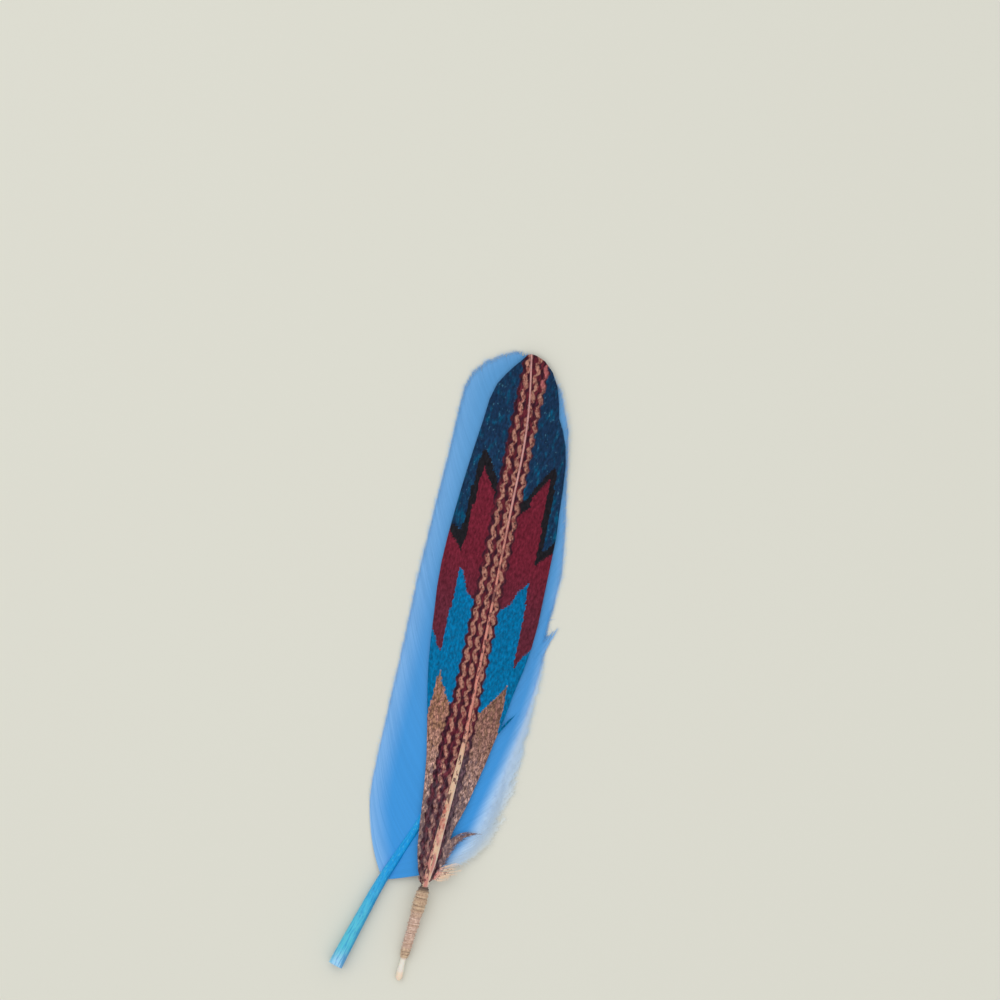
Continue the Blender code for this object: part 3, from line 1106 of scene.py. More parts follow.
@dataclass(frozen=True)
class NaturalShaft:
    """Pale horn with specks of the print: cream low down, salmon midway, pink at the top.

    A pair of places gives the y where something starts to show and where it is full.
    """

    effects: Effects
    cream: Colour = (218, 182, 152)
    blush: Colour = (194, 122, 116)
    salmon: Colour = (206, 132, 116)
    pink: Colour = (200, 146, 140)
    bare: Colour = (230, 224, 212)
    peach: Colour = (236, 216, 192)
    painted_glint: Colour = (248, 230, 214)
    print_speck: Colour = (84, 40, 44)
    flank: Colour = (104, 44, 50)
    blood: Colour = (176, 70, 66)
    salmon_above: Span = (-24.0, -14.0)
    pink_above: Span = (28.0, 50.0)
    blush_below: Span = (-33.0, -48.0)
    stain_above: Span = (-45.0, -42.0)
    stain_below: Span = (-34.0, -37.0)
    painted_glint_below: Span = (-20.0, -28.0)
    bare_below: Span = (-76.5, -78.0)
    peach_below: Span = (-80.4, -81.6)
    specks_above: Span = (-57.6, -56.6)
    left_specks_below: Span = (-30.0, -34.0)
    fewer_above: Span = (-38.0, -34.0)
    fewer_below: Span = (-8.0, -16.0)
    speck_threshold: Span = (0.54, 0.545)
    """For many specks and for fewer."""
    flanks_above: Span = (-24.0, -12.0)

    def speckled(self, draw: Sketch, place: Socket, y: Socket, across: Socket,
                 colour: Socket) -> Socket:
        """A colour with the print's dark red specks, which low down lie on the left alone.

        Args:
            draw: The sketch.
            place: The place in millimetres.
            y: Its y.
            across: From 1 on the left side of the shaft to -1 on the right.
            colour: The colour to print on.

        Returns:
            The printed colour.
        """
        high = draw.less(1.0, draw.step(y, *self.left_specks_below))
        side = draw.math("MAXIMUM", draw.step(across, -0.35, 0.1), high)
        few = draw.times(draw.step(y, *self.fewer_above), draw.step(y, *self.fewer_below))
        threshold = draw.span(few, 0.0, 1.0, *self.speck_threshold)
        specks = self.effects.fleck(draw, place, (1.3, 0.62, 1.0), 0.8, threshold)
        printed = draw.times(draw.times(specks, draw.step(y, *self.specks_above)), side)
        fainter = draw.times(printed, draw.span(y, 20.0, 40.0, 0.85, 0.25))
        flank = draw.step(draw.math("ABSOLUTE", across), 0.4, 0.8)
        flank = draw.times(flank, draw.step(y, *self.flanks_above))
        weight = draw.span(y, -4.0, 20.0, 0.24, 0.62)
        colour = draw.mix(draw.times(flank, weight), colour, self.flank)
        return draw.mix(fainter, colour, self.print_speck)

    def material(self) -> bpy.types.Material:
        """The finish of the front feather's shaft.

        Returns:
            The material.
        """
        made, draw, shader = new_material("natural_quill")
        place, _, y = millimetres(draw)
        colour = draw.mix(draw.step(y, *self.salmon_above), self.cream, self.salmon)
        colour = draw.mix(draw.step(y, *self.pink_above), colour, self.pink)
        cloud = draw.noise(place, (1.2, 0.35, 1.0), 0.9)
        rosy = draw.times(draw.step(cloud, 0.38, 0.6), draw.step(y, *self.blush_below))
        colour = draw.mix(draw.times(rosy, 0.9), colour, self.blush)
        stain = draw.times(draw.step(y, *self.stain_above), draw.step(y, *self.stain_below))
        cloudy = draw.step(draw.noise(place, (0.9, 0.5, 1.0), 0.8), 0.42, 0.58)
        colour = draw.mix(draw.times(stain, draw.times(cloudy, 0.75)), colour, self.blood)
        across = draw.marks()[2]
        # Painted highlight: a pale line down the right side of the shaft, low down.
        edge = draw.times(draw.step(across, -0.5, -0.74), draw.step(y, *self.painted_glint_below))
        colour = draw.mix(draw.times(edge, 0.45), colour, self.painted_glint)
        colour = self.speckled(draw, place, y, across, colour)
        colour = draw.mix(draw.step(y, *self.bare_below), colour, self.bare)
        colour = draw.mix(draw.step(y, *self.peach_below), colour, self.peach)
        ridges = draw.noise(place, (3.0, 0.3, 1.0), 2.0)
        finish_surface(draw, shader, colour, ridges, 0.00004, {
            "Roughness": 0.42, "Specular IOR Level": 0.3, "Subsurface Weight": 0.12,
            "Subsurface Scale": 0.001,
        })
        return made


@dataclass(frozen=True)
class BlanketPrint:
    """A print of a woven blanket: stepped peaks on both sides of a braided stripe.

    From the quill up, each side is tan, bright blue, dark red, black and navy. Each border
    between two of them is a broken line over x, and is stepped by the size of a stitch. A
    pair of places gives where something starts to show and where it is full.
    """

    effects: Effects
    stitch: Span = (0.42, 0.6)
    shake: float = 1.1
    navy: Colour = (24, 52, 82)
    teal: Colour = (4, 84, 118)
    black: Colour = (31, 31, 35)
    red: Colour = (112, 34, 50)
    low_red: Colour = (98, 40, 54)
    blue: Colour = (0, 111, 162)
    tan: Colour = (180, 128, 110)
    low_tan: Colour = (200, 158, 144)
    olive: Colour = (150, 112, 84)
    dark: Colour = (52, 28, 40)
    plum: Colour = (98, 82, 90)
    rope: Colour = (184, 132, 114)
    worn_rope: Colour = (146, 82, 76)
    spark: Colour = (84, 146, 168)
    stripe_red: Colour = (104, 40, 50)
    stripe_maroon: Colour = (104, 42, 54)
    rose: Colour = (196, 108, 112)
    low_red_below: Span = (32.0, 12.0)
    low_tan_below: Span = (-10.0, -32.0)
    maroon_below: Span = (-2.0, -20.0)
    shade_right_of: Span = (2.2, 3.2)
    shade_below: Span = (-14.0, -26.0)
    rose_right_of: Span = (2.0, 3.2)
    rose_above: Span = (73.0, 76.5)
    third_rope_above: Span = (-24.0, -17.0)
    worn_below: Span = (-14.0, -42.0)
    contrast_below: Span = (-2.0, -30.0)
    paint_edge: Span = (-0.2, 0.2)
    stripe_left: Table = (
        (-60, -1.0), (-55, -2.2), (-48, -3.2), (-36, -3.8), (-20, -3.7), (-4, -2.8), (83, -2.7),
    )
    """(y, x) of the stripe's left edge."""
    stripe_right: Table = (
        (-60, 1.8), (-50, 2.7), (-40, 3.6), (-30, 4.3), (-20, 4.6), (-4, 4.4), (83, 4.4),
    )
    stripe_sway: float = 0.26
    ropes: tuple[Table, ...] = (
        ((-60, -1.0), (-20, -1.7), (-5, -1.48), (30, -1.32), (60, -1.05), (75, -1.0), (83, -1.4)),
        ((-60, 1.2), (-20, 0.7), (-5, 0.6), (8, 0.62), (22, 0.8), (35, 1.1), (60, 1.15),
         (72, 1.6), (83, 1.3)),
        ((-60, 3.2), (8, 3.25), (25, 3.08), (40, 3.5), (60, 3.65), (83, 3.7)),
    )
    """(y, x) of the middle line of each rope."""
    rope_turns: tuple[float, ...] = (4.0, 3.93, 4.4)
    rope_period: float = 3.64
    rope_swing: float = 0.36
    rope_skew: float = 0.5
    rope_half_width: Span = (0.38, 0.68)
    """Where the rope comes back and in the middle of its drift."""

    def borders(self) -> list[tuple[Colour, Table]]:
        """The colours that lie below navy, from the top down.

        Returns:
            Each colour with (x, y) of its upper border.
        """
        black = (
            (-13.5, 37.0), (-12.5, 36.2), (-10.1, 34.3), (-9.5, 37.0), (-9.3, 45.0), (-9.0, 52.5),
            (-8.3, 56.4), (-7.4, 56.0), (-5.4, 52.9), (-2.3, 47.3), (-1.4, 45.7), (4.5, 45.0),
            (5.5, 45.9), (6.4, 48.3), (8.4, 51.7), (10.7, 55.4), (11.5, 54.4), (11.8, 49.0),
            (11.95, 33.0), (13.2, 34.2), (14.7, 36.2), (15.5, 37.0),
        )
        red = (
            (-13.5, 35.0), (-12.5, 33.6), (-8.7, 29.0), (-8.3, 33.3), (-7.9, 44.0), (-7.35, 52.0),
            (-5.5, 49.0), (-3.3, 45.7), (-2.5, 42.6), (4.5, 41.5), (6.3, 43.4), (6.6, 46.2),
            (8.4, 49.2), (10.2, 51.9), (10.4, 44.0), (10.7, 29.0), (12.5, 31.0), (14.7, 33.2),
            (15.5, 34.0),
        )
        blue = (
            (-13.5, 9.0), (-11.6, 7.3), (-10.4, 5.2), (-8.5, 2.2), (-8.4, 14.0), (-8.2, 24.9),
            (-7.1, 24.0), (-4.8, 18.7), (-2.8, 17.5), (4.5, 16.2), (6.4, 17.8), (8.0, 21.7),
            (10.3, 24.4), (10.6, 16.0), (10.75, 1.7), (12.5, 5.3), (14.0, 7.2), (15.5, 8.5),
        )
        tan = (
            (-13.5, -26.0), (-9.2, -20.0), (-8.5, -12.5), (-8.2, -6.0), (-7.7, -2.0), (-6.9, -4.6),
            (-5.9, -6.4), (-4.5, -8.9), (-2.8, -11.2), (4.5, -11.2), (5.5, -10.0), (8.1, -6.0),
            (9.4, -4.2), (10.2, -2.8), (10.35, -14.0), (10.6, -20.0), (15.5, -26.0),
        )
        return [(self.black, black), (self.red, red), (self.blue, blue), (self.tan, tan)]

    def rope_angle(self, draw: Sketch, y: Socket, turn: float) -> Socket:
        """How far a rope has turned at y: 2 pi y / period + turn."""
        return draw.math("MULTIPLY_ADD", y, 2 * math.pi / self.rope_period, turn)

    def rope_mask(self, draw: Sketch, x: Socket, y: Socket, line: Table, turn: float) -> Socket:
        """Where one rope of the stripe runs: a chain of slanting links.

        With a its angle, its middle is x = line + swing * sin(a + skew * sin a), which drifts
        to the left and comes back fast. It is widest in the middle of the drift.

        Args:
            draw: The sketch.
            x: Where to read the mask.
            y: Where to read the mask.
            line: (y, x) of the rope's middle line.
            turn: Its angle at y = 0.

        Returns:
            1 on the rope and 0 beside it.
        """
        angle = self.rope_angle(draw, y, turn)
        skewed = draw.math("MULTIPLY_ADD", draw.math("SINE", angle), self.rope_skew, angle)
        swing = draw.times(draw.math("SINE", skewed), self.rope_swing)
        off = draw.math("ABSOLUTE", draw.less(draw.less(x, draw.border(y, line)), swing))
        widest = draw.span(draw.math("COSINE", angle), 1.0, -1.0, *self.rope_half_width)
        half = draw.times(widest, draw.span(y, -30.0, 0.0, 0.84, 1.0))
        return draw.step(draw.less(half, off), -0.2, 0.24)

    def stripe(self, draw: Sketch, place: Socket, x: Socket, y: Socket) -> Socket:
        """The braided stripe's colour: three ropes on dark red, with dark gaps between.

        The third rope ends where the shaft widens.

        Args:
            draw: The sketch.
            place: The place in millimetres.
            x: Its x.
            y: Its y.

        Returns:
            The colour.
        """
        gaps = draw.step(draw.noise(place, (1.3, 0.5, 0.0), 0.9), 0.4, 0.58)
        red = draw.mix(draw.step(y, *self.maroon_below), self.stripe_red, self.stripe_maroon)
        colour = draw.mix(draw.times(gaps, 0.92), red, self.dark)
        shade = draw.times(draw.step(x, *self.shade_right_of), draw.step(y, *self.shade_below))
        colour = draw.mix(draw.times(shade, 0.7), colour, self.plum)
        warp = draw.noise(place, (0.8, 0.8, 0.0), 0.35, 1.0)
        moved_x = draw.plus(x, draw.span(warp, 0.25, 0.75, -0.14, 0.14))
        along = draw.noise(place, (0.5, 0.7, 0.0), 0.3, 1.0)
        moved_y = draw.plus(y, draw.span(along, 0.25, 0.75, -0.4, 0.4))
        worn = draw.step(draw.noise(place, (1.3, 0.9, 1.0), 1.3, 3.0), 0.46, 0.64)
        frayed = draw.step(draw.noise(place, (1.2, 0.8, 0.0), 1.2, 3.0), 0.3, 0.5)
        kept = draw.times(frayed, draw.span(y, -30.0, 0.0, 0.86, 0.94))
        rope = draw.mix(worn, self.rope, self.worn_rope)
        tip = draw.times(draw.step(x, *self.rose_right_of), draw.step(y, *self.rose_above))
        rope = draw.mix(draw.times(tip, 0.8), rope, self.rose)
        for number, (line, turn) in enumerate(zip(self.ropes, self.rope_turns)):
            mask = self.rope_mask(draw, moved_x, moved_y, line, turn)
            if number == 2:
                mask = draw.times(mask, draw.step(y, *self.third_rope_above))
            colour = draw.mix(draw.times(mask, kept), colour, rope)
        return colour

    def design(self, draw: Sketch) -> Socket:
        """The whole print, before the grain of the barbs.

        Args:
            draw: The sketch.

        Returns:
            Its colour at each place of the feather.
        """
        place, x, y = millimetres(draw)
        shake = draw.noise(place, (1.0, 1.0, 0.0), 0.9)
        shift = draw.times(draw.less(shake, 0.5), self.shake)
        moved_x = draw.plus(x, shift)
        stepped_x = draw.math("SNAP", moved_x, self.stitch[0])
        stepped_y = draw.math("SNAP", draw.plus(y, shift), self.stitch[1])
        cloud = draw.noise(place, (1.3, 0.45, 0.0), 0.6, 4.0)
        cloud = draw.plus(cloud, draw.times(draw.step(y, 60.0, 40.0), 0.07))
        colour = draw.mix(draw.step(cloud, 0.5, 0.76), self.navy, self.teal)
        sparks = self.effects.fleck(draw, place, (1.2, 0.6, 0.0), 1.3, 0.65)
        colour = draw.mix(draw.times(sparks, 0.4), colour, self.spark)
        for tint, points in self.borders():
            above = draw.less(draw.border(stepped_x, points), stepped_y)
            inside = draw.step(above, *self.paint_edge)
            paint = tint
            if tint == self.red:
                paint = draw.mix(draw.step(y, *self.low_red_below), self.red, self.low_red)
            colour = draw.mix(inside, colour, paint)
        colour = draw.mix(inside, colour, self.wool(draw, place, x, y))
        sway = draw.math("SINE", self.rope_angle(draw, y, self.rope_turns[1]))
        swayed = draw.math("MULTIPLY_ADD", sway, -self.stripe_sway, moved_x)
        from_left = draw.less(swayed, draw.border(y, self.stripe_left))
        from_right = draw.less(draw.border(y, self.stripe_right), swayed)
        within = draw.math("MINIMUM", from_left, from_right)
        striped = draw.step(within, -0.2, 0.25)
        rim = draw.times(draw.step(within, 0.95, 0.15), 0.55)
        stripe = draw.mix(rim, self.stripe(draw, place, x, y), self.dark)
        colour = draw.mix(striped, colour, stripe)
        tanned = draw.times(inside, draw.less(1.0, striped))
        return self.aged(draw, place, y, colour, tanned)

    def wool(self, draw: Sketch, place: Socket, x: Socket, y: Socket) -> Socket:
        """The tan parts' colour: upright streaks of pinkish and olive wool, duller right.

        Args:
            draw: The sketch.
            place: The place in millimetres.
            x: Its x.
            y: Its y.

        Returns:
            The colour.
        """
        tan = draw.mix(draw.step(y, *self.low_tan_below), self.tan, self.low_tan)
        streaks = draw.step(draw.noise(place, (1.3, 0.45, 0.0), 0.9, 3.0), 0.42, 0.6)
        olive = draw.times(streaks, draw.span(y, -28.0, -8.0, 0.4, 1.0))
        tan = draw.mix(olive, tan, self.olive)
        return draw.mix(draw.span(x, 2.0, 5.0, 0.0, 0.26), tan, self.plum)

    def aged(self, draw: Sketch, place: Socket, y: Socket, colour: Socket,
             tanned: Socket) -> Socket:
        """A colour with the lights and darks of stitches, and darker towards the quill.

        Args:
            draw: The sketch.
            place: The place in millimetres.
            y: Its y.
            colour: The colour of the design there.
            tanned: 1 on the tan parts and 0 elsewhere.

        Returns:
            The worn colour.
        """
        tone, gap = self.effects.stitches(draw, place)
        weave = draw.noise(place, (1.25, 0.6, 0.0), 1.5)
        light = draw.times(draw.span(weave, 0.3, 0.7, 0.66, 1.3),
                           draw.span(tone, 0.0, 1.0, 0.86, 1.12))
        low = draw.step(y, *self.worn_below)
        swing = draw.times(draw.less(weave, 0.49), 1.7)
        light = draw.math("MULTIPLY_ADD", swing, draw.step(y, *self.contrast_below), light)
        value = draw.times(light, draw.span(low, 0.0, 1.0, 1.0, 0.96))
        value = draw.times(value, draw.span(y, -54.0, -46.0, 0.84, 1.0))
        feeds = {"Value": value, "Saturation": draw.span(low, 0.2, 1.0, 1.0, 0.86), "Color": colour}
        toned = draw.node("ShaderNodeHueSaturation", feeds).outputs[0]
        gaps = draw.times(gap, draw.span(tanned, 0.0, 1.0, 0.12, 0.58))
        toned = draw.mix(gaps, toned, self.dark)
        threshold = draw.span(low, 0.0, 1.0, 0.66, 0.48)
        blots = self.effects.fleck(draw, place, (1.2, 0.5, 0.0), 1.05, threshold)
        blots = draw.times(blots, draw.span(low, 0.0, 0.2, 0.0, 1.0))
        blots = draw.times(blots, draw.span(tanned, 0.0, 1.0, 0.36, 0.7))
        return draw.mix(blots, toned, self.plum)

    def material(self) -> bpy.types.Material:
        """The finish of the printed vanes.

        Returns:
            The material.
        """
        made, draw, shader = new_material("printed_vane")
        height, tone = self.effects.barb_grain(draw, BARBULES)
        feeds = {"Value": draw.span(tone, *TONE_RANGE, 0.9, 1.08), "Color": self.design(draw)}
        toned = draw.node("ShaderNodeHueSaturation", feeds).outputs[0]
        values = {"Roughness": 0.8, "Specular IOR Level": 0.04}
        finish_surface(draw, shader, toned, height, BARBULE_DEPTH, values)
        return made


@dataclass(frozen=True)
class PaleTuft:
    """Unprinted barbs at the quill: cream and pink with a few dark specks."""

    effects: Effects
    cream: Colour = (240, 212, 184)
    pink: Colour = (206, 130, 124)
    speck: Colour = (128, 56, 62)
    barbules: float = 30.0

    def material(self) -> bpy.types.Material:
        """The finish of the pale tuft.

        Returns:
            The material, with pink roots and fewer specks towards the tips.
        """
        made, draw, shader = new_material("pale_tuft")
        place, _, _ = millimetres(draw)
        height, tone = self.effects.barb_grain(draw, self.barbules)
        share = draw.marks()[0]
        paler = draw.math("MULTIPLY_ADD", tone, 0.5, share)
        colour = draw.mix(draw.step(paler, 0.3, 0.7), self.pink, self.cream)
        threshold = draw.span(share, 0.0, 0.6, 0.46, 0.62)
        specks = self.effects.fleck(draw, place, EVEN, 1.2, threshold)
        colour = draw.mix(draw.times(specks, 0.8), colour, self.speck)
        finish_surface(draw, shader, colour, height, BARBULE_DEPTH, {"Roughness": 0.7})
        return made


@dataclass(frozen=True)
class TanThread:
    """Matt thread: tan with pinkish and brown turns, darkened where it starts.

    A pair of places gives the y where something starts to show and where it is full.
    """

    effects: Effects
    light: Colour = (214, 188, 156)
    pink: Colour = (232, 202, 184)
    brown: Colour = (192, 158, 132)
    dirt: Colour = (150, 108, 92)
    smudge: Colour = (102, 80, 68)
    pink_above: Span = (-75.5, -73.5)
    pink_below: Span = (-63.5, -66.5)
    smudge_above: Span = (-59.6, -58.2)
    strands_a_turn: float = 22.0

    def material(self) -> bpy.types.Material:
        """The finish of the thread.

        Returns:
            The material, with a bump of ridges across the thread for its ply.
        """
        made, draw, shader = new_material("tan_thread")
        place, _, y = millimetres(draw)
        turn = draw.marks()[0]
        middle = draw.times(draw.step(y, *self.pink_above), draw.step(y, *self.pink_below))
        colour = draw.mix(middle, self.light, self.pink)
        slow = draw.node("ShaderNodeCombineXYZ", {0: draw.times(turn, 0.9)}).outputs[0]
        browner = draw.step(draw.noise(slow, EVEN, 1.0, 3.0), 0.42, 0.7)
        colour = draw.mix(browner, colour, self.brown)
        dirt = self.effects.fleck(draw, place, (1.6, 1.0, 1.0), 1.1, 0.5)
        colour = draw.mix(draw.times(dirt, 0.36), colour, self.dirt)
        colour = draw.mix(draw.step(y, *self.smudge_above), colour, self.smudge)
        ply = draw.math("SINE", draw.times(turn, 2 * math.pi * self.strands_a_turn))
        values = {"Roughness": 0.85, "Sheen Weight": 0.2}
        finish_surface(draw, shader, colour, ply, 0.00005, values)
        return made


BACK_BED = Bed()
FRONT_BED = Bed(
    lift_at_edges=0.85,
    lift_at_shaft=((-60, 2.25), (-50, 2.15), (-30, 1.75), (0, 1.4), (40, 1.3), (83, 1.15)),
)
BACK_SHAFT = Shaft(
    rows=(
        (-82.6, -18.5, 1.9), (-70, -14.8, 1.6), (-58, -11.0, 1.32), (-50, -7.8, 1.2),
        (-42, -4.7, 1.08), (-32, -2.1, 0.96), (-18, -0.6, 0.84), (0, -0.1, 0.7),
        (25, -0.3, 0.56), (50, -1.0, 0.44), (70, -2.1, 0.36), (80.8, -2.9, 0.3),
    ),
    quill=((-82.6, 1.92), (-70, 1.75), (-58, 1.66)),
    vane_start=-50,
    bed=BACK_BED,
    bore_radius=1.35,
    bore_depth=9.0,
)
FRONT_SHAFT = Shaft(
    rows=(
        (-83.2, -1.75, 0.35), (-82.7, -1.72, 0.75), (-81.2, -1.68, 0.88), (-78.5, -1.6, 0.75),
        (-76, -1.45, 0.62), (-66, -0.66, 0.62), (-60, -0.18, 0.75), (-57, 0.1, 0.9),
        (-52, 0.6, 1.08), (-42.6, 1.2, 0.98), (-31.4, 1.9, 0.84), (-20, 2.4, 0.66),
        (-5, 2.4, 0.5), (16, 2.25, 0.42), (45, 2.0, 0.36), (60, 1.9, 0.33),
        (70, 1.1, 0.31), (79, -0.3, 0.3), (83.1, -1.0, 0.28),
    ),
    quill=((-83.2, 0.9), (-78.5, 1.2), (-74, 1.7), (-66, 2.75), (-60, 3.5), (-57, 3.85)),
    vane_start=-52,
    bed=FRONT_BED,
    step=0.5,
)


@dataclass(frozen=True)
class BackFeather:
    """The blue feather underneath, with a bare quill and loose down low on its right.

    An outline has (tip x, tip y, y of the root) of some barbs. A limit has (y, sideways
    place of the closed web's end, how far it takes to thin out).
    """

    effects: Effects
    left: Table = (
        (-18.7, -37.5, -58.0), (-19.1, -32.0, -54.0), (-19.1, -25.0, -49.0), (-19.0, -17.0, -43.0),
        (-18.9, -9.0, -36.0), (-18.7, -1.0, -28.5), (-18.5, 7.0, -20.5), (-18.5, 15.0, -12.5),
        (-18.6, 23.0, -4.0), (-18.2, 31.0, 4.5), (-17.9, 39.0, 13.0), (-17.6, 47.0, 22.0),
        (-17.2, 54.5, 31.0), (-16.9, 61.5, 39.5), (-16.7, 67.5, 47.0), (-16.3, 72.0, 54.0),
        (-15.0, 75.8, 60.0), (-12.8, 78.5, 65.0), (-10.4, 80.3, 69.5), (-8.0, 81.7, 73.5),
        (-5.8, 82.4, 77.0), (-4.3, 82.5, 80.0), (-3.1, 82.4, 81.8),
    )
    right: Table = (
        (12.8, -45.2, -58.2), (14.4, -43.4, -57.6), (15.5, -40.8, -56.8), (16.3, -37.6, -55.8),
        (16.9, -33.6, -54.1), (17.3, -29.9, -52.0), (17.4, -26.7, -49.4), (17.5, -23.5, -46.5),
        (17.5, -20.6, -44.0), (17.7, -16.5, -40.5), (18.0, -9.5, -34.5), (18.2, -3.0, -28.0),
        (18.4, 3.5, -21.5), (18.2, 7.8, -16.6), (18.6, 9.8, -15.0), (20.3, 14.8, -13.6),
        (21.0, 16.8, -12.9), (18.4, 12.6, -12.3), (17.7, 12.2, -10.0), (17.9, 17.0, -5.5),
        (18.4, 22.5, -0.5), (18.8, 28.5, 5.5), (18.3, 34.5, 12.5), (17.3, 40.5, 20.0),
        (16.2, 46.5, 27.5), (15.1, 53.0, 35.5), (14.0, 59.5, 43.5), (12.9, 65.5, 51.0),
        (11.2, 71.0, 58.0), (8.8, 75.3, 64.5), (5.8, 78.6, 70.5), (2.6, 81.0, 75.5),
        (-0.6, 82.2, 79.5), (-2.2, 82.4, 81.2), (-3.0, 82.4, 81.8),
    )
    left_limit: Table = (
        (-60, 11.4, 0.6), (-48, 16.1, 0.6), (-40, 18.3, 0.6), (-33.8, 18.8, 0.6),
        (-20, 18.7, 0.6), (0, 18.3, 0.6), (20, 18.1, 0.6), (40, 17.4, 0.6), (55, 16.7, 0.6),
        (67, 16.5, 0.8), (72, 16.2, 1.0), (75.8, 14.9, 1.0), (78.5, 12.6, 1.2),
        (80.3, 10.2, 1.4), (81.7, 7.8, 1.6), (82.6, 5.6, 2.0),
    )
    right_limit: Table = (
        (-60, 2.6, 3.0), (-50.5, 4.4, 3.6), (-45.3, 7.4, 4.0), (-40.9, 9.5, 4.0),
        (-34.1, 11.1, 4.0), (-29.9, 12.1, 3.8), (-24.3, 13.4, 3.0), (-15.9, 15.2, 2.2),
        (-10.4, 16.3, 1.6), (-3, 17.3, 1.0), (4, 17.9, 1.0), (9, 18.6, 1.4), (15.5, 20.0, 1.6),
        (19, 18.4, 0.8), (22.5, 17.9, 0.7), (28.5, 18.3, 0.6), (40.5, 16.8, 0.6),
        (53, 14.6, 0.6), (65.5, 12.4, 0.6), (75.3, 8.4, 0.8), (81, 2.6, 1.2), (82.6, 1.0, 1.2),
    )

    closings: Span = (0.022, 0.015)
    """How tightly the locks close on the left and on the right."""
    down_below: float = 6.0

    def build(self) -> None:
        """Makes the shaft, both vanes with their edge hairs, and the down."""
        finish = DyedVane(self.effects)
        node = ["back_feather"]
        shaft = [BACK_SHAFT.strands()]
        add_piece("blue_shaft", shaft, DyedShaft(self.effects).material(), node, 50)
        for side, rows, limit, closing, seed in (
            (Side.LEFT, self.left, self.left_limit, self.closings[0], 11),
            (Side.RIGHT, self.right, self.right_limit, self.closings[1], 12),
        ):
            vane = Vane(BACK_SHAFT, side, rows, Ending.GROWN, seed, web_limit=limit, closing=closing)
            paths, barbs = vane.paths(), vane.strands()
            hairs = Fuzz(seed=seed + 20, count=3200, width=0.026).strands(paths, barbs.marks)
            dye = finish.material(side, limit)
            add_piece(f"blue_vane_{side.name.lower()}", [barbs, hairs], dye, node)
        thin = vane.thinned(paths[..., 0], paths[..., 1])
        low = paths[..., 1] < self.down_below
        along, between = np.gradient(paths, axis=1), np.gradient(paths, axis=0)
        area = np.linalg.norm(np.cross(along, between), axis=-1) * low
        short = Fuzz(seed=41, count=9800, length=(0.4, 1.3), width=0.026, spread=1.2, stations=3)
        long = Fuzz(seed=42, count=3800, length=(0.8, 2.4), width=0.019, spread=0.9, stations=3)
        down = [
            short.strands(paths, barbs.marks, area * ease(thin, 0.0, 0.3)),
            long.strands(paths, barbs.marks, area * (thin > 0.4)),
        ]
        add_piece("blue_down", down, dye, node)


